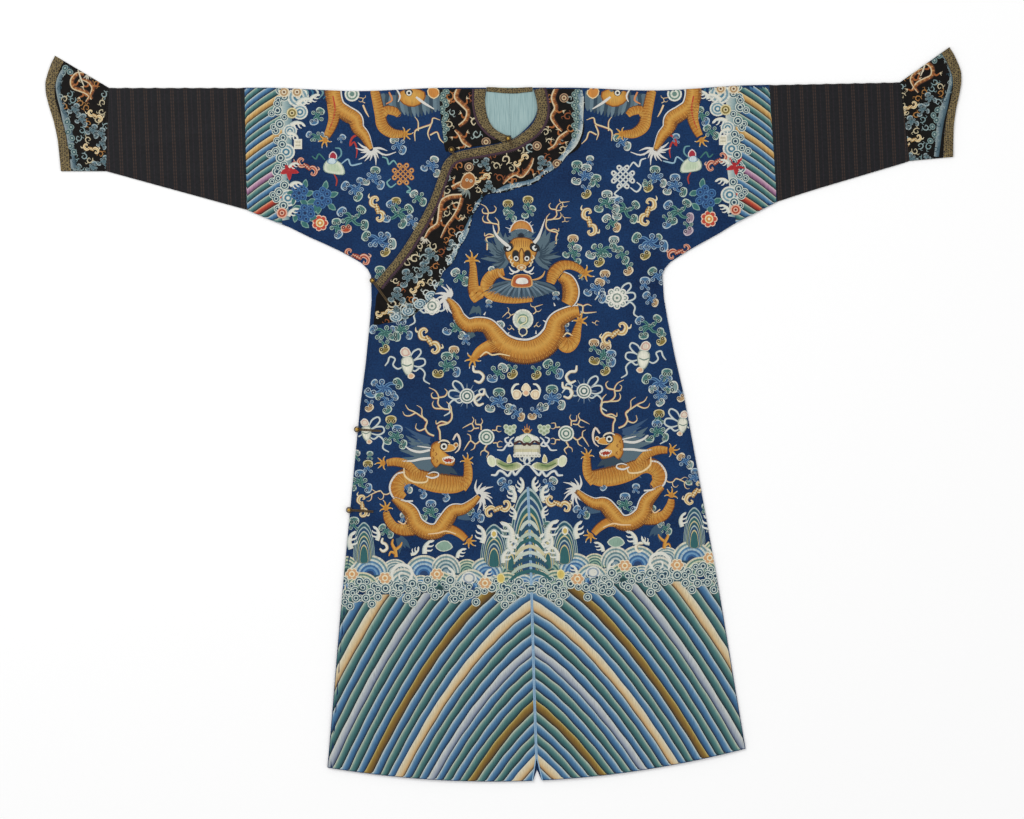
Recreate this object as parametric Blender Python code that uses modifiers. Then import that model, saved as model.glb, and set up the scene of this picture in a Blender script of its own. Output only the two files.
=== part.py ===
"""Dragon robe laid flat and face up, built from the pieces that a tailor cuts and sews.

Metres, +Z up. The back rests at z = 0, +Y points to the neck and +X to the wearer's left.
Pieces are drawn in pattern space: "across" runs from the centre seam toward the wearer's left and
"down" from the shoulder fold toward the hem. lay() then gives the place where that point of cloth lies.
"""

import math

import bpy
import numpy as np

# Driving sizes
ROBE_LENGTH = 1.418      # shoulder fold to the hem at the centre seam
HEM_RISE = 0.046         # how much shorter the side is than the centre
HEM_HALF = 0.4276
CLOTH = 0.0012           # wall of a lined silk panel
THIN_CLOTH = 0.0010      # wall of the collar facing, lining and pipings
SEAM = 0.0003            # gap at a seam and between two layers
OVERLAP_INSET = 0.006    # the overlap stops this far inside the side edge

# How the robe lies
NECK_X = 0.01135
FOLD_Y = 0.66848
LEAN = 0.041             # sideways drift of the body for each metre down
TILT = 0.045             # turn of the hem
TILT_SPAN = (0.30, 0.75)
SHOULDER_SAG = 0.007
SAG_SPAN = (0.12, 0.50)
SAG_FADE = 0.15
SLEEVE_START = 0.300
SLEEVE_REACH = 0.018     # the wearer's right sleeve is pulled out, the left one pushed in
LIFT_START = 0.245
SLEEVE_LIFT = 0.020
SLEEVE_NARROW = 0.05
SLEEVE_FADE = (0.25, 0.45)
CUFF_START = 0.810
CUFF_LIFT = 0.07
CENTRE_BOW = 0.0052      # the skirt's centre line bows toward the wearer's left
BOW_WIDTH = 0.28
BOW_RISE = (0.45, 0.80)
BOW_FADE = (0.85, 1.40)
NARROW_SPAN = (0.25, 0.65)
RELIEF = 0.0009          # soft rise and fall of the upper layers
RELIEF_SPAN = (0.30, 0.50)
RELIEF_WAVES = (0.31, 0.52)

# Heights of the outer faces, each layer a seam gap above the one below
UNDER_TOP = 0.0030
OVER_TOP = UNDER_TOP + SEAM + CLOTH
FACING_UNDER_TOP = UNDER_TOP + SEAM + THIN_CLOTH
FACING_OVER_TOP = OVER_TOP + SEAM + THIN_CLOTH
BAND_UNDER_TOP = FACING_UNDER_TOP + SEAM + CLOTH
BAND_OVER_TOP = FACING_OVER_TOP + SEAM + CLOTH
LINING_TOP = CLOTH + SEAM + THIN_CLOTH
EDGE_EASE = 0.06         # the upper front comes down to the side seam over this width
FOLD_TURNS = (-90, -45, 0, 45, 90)

# Side edge of the body: down, half width
BODY_SIDE = (
    (0.384, 0.2980), (0.433, 0.2990), (0.474, 0.3040), (0.556, 0.3160), (0.637, 0.3305),
    (0.740, 0.3450), (0.842, 0.3590), (0.944, 0.3730), (1.046, 0.3867), (1.148, 0.3997),
    (1.251, 0.4123), (1.330, 0.4225), (1.371, 0.4276),
)
# Lower edge of the sleeve, from the cuff to the armpit: down, across
UNDERARM = (
    (0.171, 0.8220), (0.173, 0.7870), (0.203, 0.6810), (0.228, 0.6010), (0.250, 0.5425),
    (0.269, 0.5000), (0.285, 0.4600), (0.306, 0.4190), (0.322, 0.3840), (0.335, 0.3570),
    (0.347, 0.3355), (0.353, 0.3240), (0.359, 0.3155), (0.371, 0.3040), (0.384, 0.2980),
)
SLEEVE_SEAM = ((0.000, 0.5370), (0.250, 0.5425))
CUFF_SEAM = ((0.000, 0.8100), (0.171, 0.8220))
# Front neck edge on each side: down, across
NECK_LEFT = (
    (0.000, 0.0490), (0.005, 0.0505), (0.020, 0.0545), (0.043, 0.0568), (0.058, 0.0520),
    (0.071, 0.0437), (0.083, 0.0325), (0.0945, 0.0195), (0.104, 0.0060), (0.108, SEAM / 2),
)
NECK_RIGHT = (
    (0.000, 0.0470), (0.008, 0.0476), (0.020, 0.0500), (0.031, 0.0508), (0.050, 0.0490),
    (0.066, 0.0450), (0.076, 0.0410), (0.084, 0.0335), (0.092, 0.0228), (0.098, 0.0105),
    (0.1015, SEAM / 2),
)
BACK_NECK = ((0.0023, 0.0), (0.0045, 0.019), (0.0070, 0.049))   # down, how far the edge has closed
# Horse-hoof mouth from its upper tip to its lower corner: across, down
CUFF_MOUTH = (
    (0.9155, -0.0655), (0.9230, -0.0520), (0.9300, -0.0340), (0.9370, -0.0120), (0.9370, 0.0120),
    (0.9310, 0.0400), (0.9240, 0.0660), (0.9190, 0.0890), (0.9150, 0.1260), (0.9130, 0.1710),
)
CUFF_BAND = 0.020
CUFF_BAND_PROUD = 0.0006
CUFF_BAND_GAP = 0.0008
# Brocade band of the overlap, shoulder to armpit: across, down, half width
OVERLAP_BAND = (
    (0.0610, 0.003, 0.0095), (0.0650, 0.022, 0.0100), (0.0668, 0.043, 0.0100),
    (0.0622, 0.064, 0.0100), (0.0500, 0.084, 0.0098), (0.0270, 0.1025, 0.0094),
    (0.0000, 0.1172, 0.0086), (-0.0448, 0.1273, 0.0081), (-0.0880, 0.1352, 0.0080),
    (-0.1160, 0.1430, 0.0078), (-0.1325, 0.1580, 0.0076), (-0.1435, 0.1830, 0.0074),
    (-0.1625, 0.2306, 0.0072), (-0.1835, 0.2690, 0.0072), (-0.2140, 0.3180, 0.0072),
    (-0.2420, 0.3555, 0.0072), (-0.2680, 0.3840, 0.0072), (-0.2850, 0.4035, 0.0072),
)
# Brocade band on the wearer's right of the neck: inner across, down, outer across, down
NECK_BAND = (
    (-0.0478, 0.003, -0.0709, 0.003), (-0.0500, 0.020, -0.0722, 0.022),
    (-0.0508, 0.032, -0.0722, 0.038), (-0.0490, 0.050, -0.0690, 0.058),
    (-0.0450, 0.066, -0.0625, 0.074), (-0.0335, 0.084, -0.0460, 0.0935),
    (-0.0170, 0.0945, -0.0300, 0.1045), (0.0020, 0.1022, -0.0170, 0.1130),
)
PIPING = 0.0045          # purple strip beside the band
# Dark facing that crosses the centre: inner across, down, outer across, down
FACING_SECTIONS = (
    (0.066, 0.003, 0.149, 0.003), (0.0695, 0.043, 0.1495, 0.045), (0.062, 0.072, 0.146, 0.085),
    (0.050, 0.090, 0.139, 0.117), (0.034, 0.104, 0.112, 0.140), (0.008, 0.118, 0.079, 0.169),
    (-0.030, 0.126, 0.040, 0.194), (-0.075, 0.1335, -0.008, 0.209), (-0.118, 0.145, -0.056, 0.219),
    (-0.136, 0.166, -0.079, 0.248), (-0.153, 0.208, -0.098, 0.294), (-0.182, 0.265, -0.124, 0.343),
    (-0.212, 0.315, -0.152, 0.379), (-0.241, 0.355, -0.182, 0.433), (-0.268, 0.386, -0.232, 0.468),
    (-0.2890, 0.425, -0.2970, 0.481),
)
FACING_STEPS = 3
SCALLOP = 0.004          # wave of the facing's outer edge
# Facing on the wearer's right of the neck: down, inner across, outer across
NECK_FACING = (
    (0.003, -0.0520, -0.1430), (0.031, -0.0550, -0.1430), (0.060, -0.0500, -0.1420),
    (0.084, -0.0380, -0.1400), (0.1000, -0.0240, -0.1390), (0.1110, -0.0215, -0.1380),
    (0.1165, -0.0480, -0.1375), (0.1210, -0.0780, -0.1370), (0.1265, -0.1030, -0.1360),
    (0.1310, -0.1190, -0.1345),
)
# Back neck band: across, upper down, lower down
BACK_BAND = (
    (-0.0462, -0.0010, 0.0080), (-0.0300, -0.0006, 0.0095), (-0.0100, 0.0010, 0.0115),
    (0.0120, 0.0010, 0.0120), (0.0320, -0.0004, 0.0100), (0.0480, -0.0010, 0.0080),
)
# Front vent
VENT_TOP = 0.817
VENT_OPEN = 1.373        # below this the two fronts part
BACK_VENT_OPEN = 1.396   # and here the two backs, seen through the front vent
VENT_SPREAD = 0.009
VENT_PIPING = 0.0025

# Rows and columns of the cloth grids
PANEL_COLUMNS = (0.0, 0.10, 0.22, 0.34, 0.46, 0.58, 0.70, 0.82, 0.93, 1.0)
BACK_ROWS = (
    0.060, 0.150, 0.250, 0.285, 0.322, 0.347, 0.359, 0.371, 0.384, 0.433, 0.556, 0.740,
    0.944, 1.148, 1.330, BACK_VENT_OPEN, ROBE_LENGTH,
)
ARMPIT_ROWS = (0.180, 0.250, 0.269, 0.285, 0.306, 0.322, 0.335, 0.347, 0.353, 0.359, 0.371, 0.384)
SKIRT_ROWS = (
    0.433, 0.474, 0.556, 0.637, 0.740, 0.842, 0.944, 1.046, 1.148, 1.251, 1.330, VENT_OPEN, ROBE_LENGTH,
)
OVERLAP_ROWS = (
    0.1115, 0.1160, 0.1205, 0.1255, 0.1310, 0.1370, 0.1460, 0.1650, 0.1900, 0.2306, 0.2690,
    0.3180, 0.3558, 0.3960, 0.4120,
)
OVERLAP_COLUMNS = (0.0, 0.15, 0.30, 0.45, 0.60, 0.75, 0.90, 1.0)
SLEEVE_SECTIONS = 12
CUFF_SECTIONS = 5
TUBE_FRONT = (0.0, 0.2, 0.4, 0.6, 0.8, 1.0)
TUBE_BACK = (0.0, 0.5, 1.0)
TUBE_TURNS = (-45, 0, 45)
CURVE_STEPS = 3

# Ball buttons: name, across, down, height of what is below, loop height at ball and tail, angle, length
BUTTONS = (
    ("neck", -0.0062, 0.1048, BAND_UNDER_TOP, 0.0088, 0.0088, 302, 0.018),
    ("corner", -0.1230, 0.1275, FACING_UNDER_TOP, 0.0088, 0.0088, 300, 0.020),
    ("armpit", -0.2955, 0.3935, UNDER_TOP, 0.0094, 0.0078, 306, 0.058),
    ("chest", -0.3390, 0.6850, UNDER_TOP, 0.0062, 0.0062, 356, 0.050),
    ("waist", -0.3620, 0.8480, UNDER_TOP, 0.0062, 0.0062, 356, 0.050),
)
BALL_RADIUS = 0.0040
CORD_RADIUS = 0.0011
LOOP_TURN_STEPS = 8

# Finish of each piece: base colour, metallic, roughness
FINISHES = {
    "silk_ground": ((0.012, 0.045, 0.150, 1.0), 0.0, 0.45),
    "striped_silk": ((0.013, 0.013, 0.020, 1.0), 0.0, 0.50),
    "collar_satin": ((0.010, 0.009, 0.012, 1.0), 0.0, 0.45),
    "brocade": ((0.160, 0.125, 0.060, 1.0), 0.2, 0.55),
    "lining_silk": ((0.290, 0.500, 0.540, 1.0), 0.0, 0.50),
    "piping_purple": ((0.050, 0.025, 0.045, 1.0), 0.0, 0.60),
    "piping_blue": ((0.280, 0.450, 0.620, 1.0), 0.0, 0.50),
    "gilt_brass": ((0.700, 0.480, 0.160, 1.0), 1.0, 0.30),
    "loop_cord": ((0.030, 0.022, 0.026, 1.0), 0.0, 0.60),
}


def ease(value, start, end):
    """Zero before start, one after end and a smooth rise between them."""
    part = min(1.0, max(0.0, (value - start) / (end - start)))
    return part * part * (3.0 - 2.0 * part)


def read(table, key, column=1):
    """A column of a table, read at a value of its first column."""
    return float(np.interp(key, [row[0] for row in table], [row[column] for row in table]))


def smooth_rows(table, steps):
    """The rows of a table with smooth rows added between them, as a spline through each column."""
    rows = [np.array(row) for row in table]
    rows = [2 * rows[0] - rows[1]] + rows + [2 * rows[-1] - rows[-2]]
    result = []
    for before, start, end, after in zip(rows, rows[1:], rows[2:], rows[3:]):
        for step in range(steps):
            t = step / steps
            result.append(0.5 * (
                2 * start + (end - before) * t + (2 * before - 5 * start + 4 * end - after) * t ** 2
                + (3 * start - before - 3 * end + after) * t ** 3
            ))
    result.append(rows[-2])
    return result


def lay(across, down, height):
    """Where a point of the pattern lies: the body leans and turns, and one sleeve is pulled up."""
    sleeve = 1.0 - ease(down, *SLEEVE_FADE)
    beyond = max(0.0, abs(across) - SLEEVE_START) * sleeve
    bow = CENTRE_BOW * (1.0 - ease(abs(across), 0.0, BOW_WIDTH)) * ease(down, *BOW_RISE)
    bow *= 1.0 - ease(down, *BOW_FADE)
    x = NECK_X + across - SLEEVE_REACH * beyond + LEAN * down + bow
    narrow = SLEEVE_NARROW * ease(across, *NARROW_SPAN) * sleeve
    lift = (SLEEVE_LIFT * max(0.0, across - LIFT_START) + CUFF_LIFT * max(0.0, across - CUFF_START)) * sleeve
    turn = TILT * across * ease(down, *TILT_SPAN)
    middle = (SAG_SPAN[0] + SAG_SPAN[1]) / 2
    sag = SHOULDER_SAG * ease(abs(across), SAG_SPAN[0], middle) * ease(-abs(across), -SAG_SPAN[1], -middle)
    y = FOLD_Y - down * (1.0 - narrow) + lift + turn - sag * ease(-down, -SAG_FADE, 0.0)
    return x, y, height


def relief(across, down):
    """Soft waves of the upper layers, nil above the armpit."""
    wave = math.sin(math.tau * across / RELIEF_WAVES[0] + 2.0 * down)
    wave *= math.sin(math.tau * down / RELIEF_WAVES[1])
    return RELIEF * (0.5 + 0.5 * wave) * ease(down, *RELIEF_SPAN)


def hem_rise(across, down):
    """The rows bend up toward the side seams as they near the hem."""
    start = BODY_SIDE[6][0]
    part = max(0.0, (down - start) / (ROBE_LENGTH - start))
    return HEM_RISE * part * (across / HEM_HALF) ** 2


def outer_edge(down):
    """Distance from the centre to the sleeve seam, the underarm curve or the side seam."""
    if down <= SLEEVE_SEAM[1][0]:
        return read(SLEEVE_SEAM, down) - SEAM / 2
    if down <= BODY_SIDE[0][0]:
        return read(UNDERARM, down)
    return read(BODY_SIDE, down - hem_rise(read(BODY_SIDE, down), down))


def centre_edge(down, vent=VENT_OPEN):
    """Distance from the centre line to the cloth's edge: a seam, then the open end of the vent."""
    opening = max(0.0, (down - vent) / (ROBE_LENGTH - vent))
    return SEAM / 2 + VENT_SPREAD * opening


def finish_material(name):
    """One material for each finish, made when it is first used."""
    material = bpy.data.materials.get(name)
    if material:
        return material
    colour, metallic, roughness = FINISHES[name]
    material = bpy.data.materials.new(name)
    material.use_nodes = True
    shader = material.node_tree.nodes["Principled BSDF"]
    shader.inputs["Base Color"].default_value = colour
    shader.inputs["Metallic"].default_value = metallic
    shader.inputs["Roughness"].default_value = roughness
    material.diffuse_color = colour
    return material


def add_object(name, data, finish):
    """An object in the robe's collection with its finish."""
    piece = bpy.data.objects.new(name, data)
    bpy.data.collections["dragon_robe"].objects.link(piece)
    data.materials.append(finish_material(finish))
    return piece


def cloth(name, rows, thickness, finish, closed=False, face_up=False):
    """Cloth lofted through rows of pattern points as its outer face, and thickened inward."""
    columns = len(rows[0])
    spans = columns if closed else columns - 1
    faces = []
    for row in range(len(rows) - 1):
        for column in range(spans):
            here = row * columns + column
            beside = row * columns + (column + 1) % columns
            faces.append((here, here + columns, beside + columns, beside))
    mesh = bpy.data.meshes.new(name)
    mesh.from_pydata([lay(*point) for row in rows for point in row], [], faces)
    if face_up and mesh.polygons[0].normal.z < 0:
        mesh.flip_normals()
    mesh.validate()
    piece = add_object(name, mesh, finish)
    wall = piece.modifiers.new("Wall", "SOLIDIFY")
    wall.thickness = thickness
    wall.offset = -1.0
    wall.use_even_offset = True
    return piece


def body_panel(name, side, neck, top):
    """Back, shoulder fold and front cut in one, with the upper sleeve, for one side of the robe."""
    def row(inner, down, height):
        outer = outer_edge(down)
        points = []
        for part in PANEL_COLUMNS:
            across = inner + (outer - inner) * part
            points.append((side * across, down - hem_rise(across, down), height(across, down)))
        return points[::side]

    neck_half = neck[0][1]
    rows = []
    for down in reversed(BACK_ROWS):
        rows.append(row(centre_edge(down, BACK_VENT_OPEN), down, lambda across, down: 0.0))
    for down, closed in reversed(BACK_NECK[1:]):
        inner = max(SEAM / 2, neck_half - closed)
        rows.append(row(inner, down, lambda across, down: 0.0))
    for turn in FOLD_TURNS:
        angle = math.radians(turn)
        fold = []
        for part in PANEL_COLUMNS:
            across = neck_half + (outer_edge(0.0) - neck_half) * part
            radius = top(across, 0.0) / 2
            fold.append((side * across, radius * (1 - math.cos(angle)), radius * (1 + math.sin(angle))))
        rows.append(fold[::side])
    for down, inner in neck[1:]:
        rows.append(row(inner, down, top))
    for down in ARMPIT_ROWS + SKIRT_ROWS:
        rows.append(row(centre_edge(down), down, top))
    return cloth(name, rows, CLOTH, "silk_ground")


def left_top(across, down):
    """Outer face of the front on the wearer's left: level with the overlap, lower at its outer edge."""
    rise = (OVER_TOP - UNDER_TOP) * ease(outer_edge(down) - across, 0.0, EDGE_EASE)
    return UNDER_TOP + rise + relief(across, down)


def right_top(across, down):
    """Outer face of the under front on the wearer's right."""
    return UNDER_TOP + relief(-across, down)


def overlap_edge(down):
    """Upper edge of the overlap, hidden under the middle of the brocade band, then its side edge."""
    band = [(row[1], -row[0]) for row in OVERLAP_BAND if row[0] <= 0.0]
    if down < band[-1][0]:
        return read(band, down)
    return outer_edge(down) - OVERLAP_INSET


def front_overlap():
    """The overlap that closes over the under front, from the centre seam to the wearer's right."""
    rows = []
    first = OVERLAP_BAND[6][1]
    for down in OVERLAP_ROWS + SKIRT_ROWS:
        inner = centre_edge(down)
        outer = overlap_edge(down) if down > first else inner + 0.002 + (down - OVERLAP_ROWS[0]) * 2.0
        points = []
        for part in OVERLAP_COLUMNS:
            across = -(inner + (outer - inner) * part)
            height = OVER_TOP + relief(across, down)
            points.append((across, down - hem_rise(across, down), height))
        rows.append(points)
    return cloth("front_overlap", rows, CLOTH, "silk_ground", face_up=True)


def tube(name, side, edge_in, edge_out, sections, top, finish):
    """A flattened sleeve tube between two edges, each a function from upper to lower corner."""
    radius = top / 2
    rows = []
    for section in range(sections + 1):
        part = section / sections

        def place(share):
            inner = edge_in(share)
            outer = edge_out(share)
            return [inner[axis] + (outer[axis] - inner[axis]) * part for axis in (0, 1)]

        def front(share):
            across, down = place(share)
            shift = radius * (1 - 2 * share)
            return across, down + shift

        loop = [(*front(share), top) for share in reversed(TUBE_FRONT)]
        for turn in reversed(TUBE_TURNS):
            angle = math.radians(turn)
            across, down = place(0.0)
            loop.append((across, down + radius * (1 - math.cos(angle)), radius * (1 + math.sin(angle))))
        loop += [(*front(share), 0.0) for share in TUBE_BACK]
        for turn in TUBE_TURNS:
            angle = math.radians(turn)
            across, down = place(1.0)
            loop.append((across, down - radius * (1 - math.cos(angle)), radius * (1 + math.sin(angle))))
        rows.append([(side * across, down, height) for across, down, height in loop])
    return cloth(name, rows[::side], CLOTH, finish, closed=True)


def between(table, gap):
    """An edge along a straight seam, set off by a gap."""
    (upper, start), (lower, end) = table
    return lambda share: (start + (end - start) * share + gap, upper + (lower - upper) * share)


def mouth_point(share):
    """A point of the cuff's mouth, from its upper tip to its lower corner."""
    place = share * (len(CUFF_MOUTH) - 1)
    index = min(int(place), len(CUFF_MOUTH) - 2)
    rest = place - index
    return [a + (b - a) * rest for a, b in zip(CUFF_MOUTH[index], CUFF_MOUTH[index + 1])]


def cuff_line(inset):
    """A line across the cuff at a distance inside its mouth."""
    seam = between(CUFF_SEAM, SEAM / 2)

    def point(share):
        start = seam(share)
        end = mouth_point(share)
        length = math.dist(start, end)
        return [b + (a - b) * inset / length for a, b in zip(start, end)]

    return point


def sleeve_pieces(name, side):
    """Striped extension, horse-hoof cuff and the brocade band of its mouth."""
    tube("sleeve_" + name, side, between(SLEEVE_SEAM, SEAM / 2), between(CUFF_SEAM, -SEAM / 2),
         SLEEVE_SECTIONS, UNDER_TOP, "striped_silk")
    tube("cuff_" + name, side, between(CUFF_SEAM, SEAM / 2), cuff_line(CUFF_BAND + CUFF_BAND_GAP),
         CUFF_SECTIONS, UNDER_TOP, "collar_satin")
    tube("cuff_band_" + name, side, cuff_line(CUFF_BAND), cuff_line(0.0), 1,
         UNDER_TOP + CUFF_BAND_PROUD, "brocade")


def ribbon(name, sections, thickness, finish, top):
    """A flat strip through sections, each its inner and outer point, on top of other layers."""
    rows = []
    for inner_across, inner_down, outer_across, outer_down in sections:
        rows.append([
            (inner_across, inner_down, top + relief(inner_across, inner_down)),
            (outer_across, outer_down, top + relief(outer_across, outer_down)),
        ])
    return cloth(name, rows, thickness, finish, face_up=True)


def band_sections(near, far):
    """Sections of a strip along the overlap band, at two distances outward from its edges."""
    line = smooth_rows(OVERLAP_BAND, CURVE_STEPS)
    sections = []
    for index, (across, down, half) in enumerate(line):
        before = line[max(0, index - 1)]
        after = line[min(len(line) - 1, index + 1)]
        length = math.dist(before[:2], after[:2])
        normal = ((after[1] - before[1]) / length, -(after[0] - before[0]) / length)
        inner = half * near[0] + near[1]
        outer = half * far[0] + far[1]
        sections.append((across + normal[0] * inner, down + normal[1] * inner,
                         across + normal[0] * outer, down + normal[1] * outer))
    return sections


def neck_band_pieces():
    """Brocade bands and purple pipings around the neck and along the overlap."""
    ribbon("overlap_band", band_sections((-1, 0), (1, 0)), CLOTH, "brocade", BAND_OVER_TOP)
    ribbon("overlap_piping", band_sections((1, SEAM), (1, SEAM + PIPING)), THIN_CLOTH, "piping_purple",
           BAND_OVER_TOP - SEAM)
    right = smooth_rows(NECK_BAND, CURVE_STEPS)
    ribbon("neck_band_right", right, CLOTH, "brocade", BAND_UNDER_TOP)
    piping = []
    for inner_across, inner_down, outer_across, outer_down in right:
        length = math.dist((inner_across, inner_down), (outer_across, outer_down))
        step = ((outer_across - inner_across) / length, (outer_down - inner_down) / length)
        near = (outer_across + step[0] * SEAM, outer_down + step[1] * SEAM)
        far = (near[0] + step[0] * PIPING, near[1] + step[1] * PIPING)
        piping.append((*near, *far))
    ribbon("neck_piping_right", piping[:-CURVE_STEPS], THIN_CLOTH, "piping_purple", BAND_UNDER_TOP - SEAM)
    back = [(across, upper, across, lower) for across, upper, lower in smooth_rows(BACK_BAND, 2)]
    ribbon("neck_band_back", back, CLOTH, "brocade", LINING_TOP + SEAM + CLOTH)


def overlap_facing():
    """Dark facing of the overlap, its outer edge scalloped like a wave."""
    sections = smooth_rows(FACING_SECTIONS, FACING_STEPS)
    rows = []
    for index, (inner_across, inner_down, outer_across, outer_down) in enumerate(sections):
        wave = SCALLOP * abs(math.sin(math.pi * index / 4)) if index < len(sections) - 1 else 0.0
        length = math.dist((inner_across, inner_down), (outer_across, outer_down))
        row = []
        for part in (0.0, 0.5, 1.0 + wave / length):
            across = inner_across + (outer_across - inner_across) * part
            down = inner_down + (outer_down - inner_down) * part
            row.append((across, down, FACING_OVER_TOP + relief(across, down)))
        rows.append(row)
    return cloth("facing_overlap", rows, THIN_CLOTH, "collar_satin", face_up=True)


def neck_facing():
    """Dark facing on the wearer's right of the neck."""
    rows = []
    for down, inner, outer in smooth_rows(NECK_FACING, 2):
        rows.append([(inner + (outer - inner) * part, down, FACING_UNDER_TOP) for part in (0.0, 0.5, 1.0)])
    return cloth("facing_neck_right", rows, THIN_CLOTH, "collar_satin", face_up=True)


def back_lining():
    """Pale lining of the back, where the neck shows it, as two halves that meet at a centre seam."""
    clear = 2 * SEAM
    for name, side, neck in (("left", 1, NECK_LEFT), ("right", -1, NECK_RIGHT)):
        rows = []
        for down, edge in neck[:-1]:
            middle = SEAM / 2
            outer = max(edge - clear, middle + clear)
            rows.append([(side * middle, down, LINING_TOP), (side * outer, down, LINING_TOP)])
        cloth("lining_" + name, rows, THIN_CLOTH, "lining_silk", face_up=True)


def vent_pipings():
    """Light blue strips along both sides of the front vent."""
    for name, side in (("left", 1), ("right", -1)):
        sections = []
        for down in [VENT_TOP] + [row for row in SKIRT_ROWS if row > VENT_TOP]:
            edge = centre_edge(down)
            sections.append((side * edge, down, side * (edge + VENT_PIPING), down))
        ribbon("vent_piping_" + name, sections, THIN_CLOTH, "piping_blue", OVER_TOP + SEAM + THIN_CLOTH)


def ball_and_loop(name, across, down, below, loop_height, tail_height, angle, length):
    """A gilt ball and the corded loop that holds it, its two legs side by side."""
    ball_height = below + SEAM + BALL_RADIUS
    x, y, z = lay(across, down, ball_height + relief(across, down))
    bpy.ops.mesh.primitive_uv_sphere_add(segments=12, ring_count=8, radius=BALL_RADIUS, location=(x, y, z))
    ball = bpy.context.object
    for owner in ball.users_collection:
        owner.objects.unlink(ball)
    bpy.data.collections["dragon_robe"].objects.link(ball)
    ball.name = "ball_" + name
    ball.data.materials.append(finish_material("gilt_brass"))
    ball.data.shade_smooth()

    drop = loop_height - ball_height
    turn_radius = math.sqrt(BALL_RADIUS ** 2 - drop ** 2) + CORD_RADIUS + SEAM
    spacing = CORD_RADIUS + SEAM / 2
    opening = math.asin(spacing / turn_radius)
    path = [(length, spacing)]
    for step in range(LOOP_TURN_STEPS + 1):
        turn = opening + (math.tau - 2 * opening) * step / LOOP_TURN_STEPS
        path.append((turn_radius * math.cos(turn), turn_radius * math.sin(turn)))
    path.append((length, -spacing))
    heading = math.radians(angle)
    curve = bpy.data.curves.new("loop_" + name, "CURVE")
    curve.dimensions = "3D"
    curve.bevel_depth = CORD_RADIUS
    curve.bevel_resolution = 1
    curve.use_fill_caps = True
    spline = curve.splines.new("POLY")
    spline.points.add(len(path) - 1)
    for point, (along, aside) in zip(spline.points, path):
        share = max(0.0, along / length)
        height = loop_height + (tail_height - loop_height) * share + relief(across, down)
        east = along * math.cos(heading) - aside * math.sin(heading)
        north = along * math.sin(heading) + aside * math.cos(heading)
        point.co = (x + east, y + north, height, 1.0)
    add_object("loop_" + name, curve, "loop_cord")


def build_robe():
    """Every piece of the robe, from the panels that lie on the floor to the trim on top."""
    for old in list(bpy.data.objects):
        bpy.data.objects.remove(old)
    collection = bpy.data.collections.new("dragon_robe")
    bpy.context.scene.collection.children.link(collection)
    body_panel("body_left", 1, NECK_LEFT, left_top)
    body_panel("body_right", -1, NECK_RIGHT, right_top)
    front_overlap()
    for name, side in (("left", 1), ("right", -1)):
        sleeve_pieces(name, side)
    back_lining()
    neck_facing()
    overlap_facing()
    neck_band_pieces()
    vent_pipings()
    for button in BUTTONS:
        ball_and_loop(*button)


build_robe()
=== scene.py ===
"""Looks of the dragon robe: cloth shells with creases, and embroidery laid on them stitch layer by stitch layer.

Metres, +Z up, the same frame as the solids. Cloth is drawn in pattern space (across, down) and laid by lay().
Embroidery is drawn in units of U on a plan whose zero corner is the upper right cuff, see plan().
"""

import math

import bpy
import numpy as np
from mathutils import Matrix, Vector
from mathutils.bvhtree import BVHTree


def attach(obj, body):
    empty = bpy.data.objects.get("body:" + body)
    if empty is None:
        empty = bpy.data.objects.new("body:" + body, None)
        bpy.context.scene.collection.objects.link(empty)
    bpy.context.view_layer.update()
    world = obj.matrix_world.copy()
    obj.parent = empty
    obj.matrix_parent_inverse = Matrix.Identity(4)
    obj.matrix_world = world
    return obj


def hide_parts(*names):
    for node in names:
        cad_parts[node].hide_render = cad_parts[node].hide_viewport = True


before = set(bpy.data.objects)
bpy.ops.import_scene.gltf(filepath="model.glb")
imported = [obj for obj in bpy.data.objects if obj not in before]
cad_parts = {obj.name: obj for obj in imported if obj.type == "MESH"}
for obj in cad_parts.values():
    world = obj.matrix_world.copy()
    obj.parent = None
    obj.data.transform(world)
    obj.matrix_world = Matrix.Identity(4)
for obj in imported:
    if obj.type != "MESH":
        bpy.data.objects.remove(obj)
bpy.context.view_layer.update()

ROBE_LENGTH, HEM_RISE, HEM_HALF = 1.418, 0.046, 0.4276
CLOTH, THIN_CLOTH, SEAM = 0.0012, 0.0010, 0.0003
NECK_X, FOLD_Y, LEAN, TILT = 0.01135, 0.66848, 0.041, 0.045
UNDER_TOP = 0.0030
OVER_TOP = UNDER_TOP + SEAM + CLOTH
FACING_UNDER_TOP = UNDER_TOP + SEAM + THIN_CLOTH
FACING_OVER_TOP = OVER_TOP + SEAM + THIN_CLOTH
BAND_UNDER_TOP = FACING_UNDER_TOP + SEAM + CLOTH
BAND_OVER_TOP = FACING_OVER_TOP + SEAM + CLOTH
LINING_TOP = CLOTH + SEAM + THIN_CLOTH
VENT_TOP, VENT_OPEN, BACK_VENT_OPEN = 0.817, 1.373, 1.396

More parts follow.
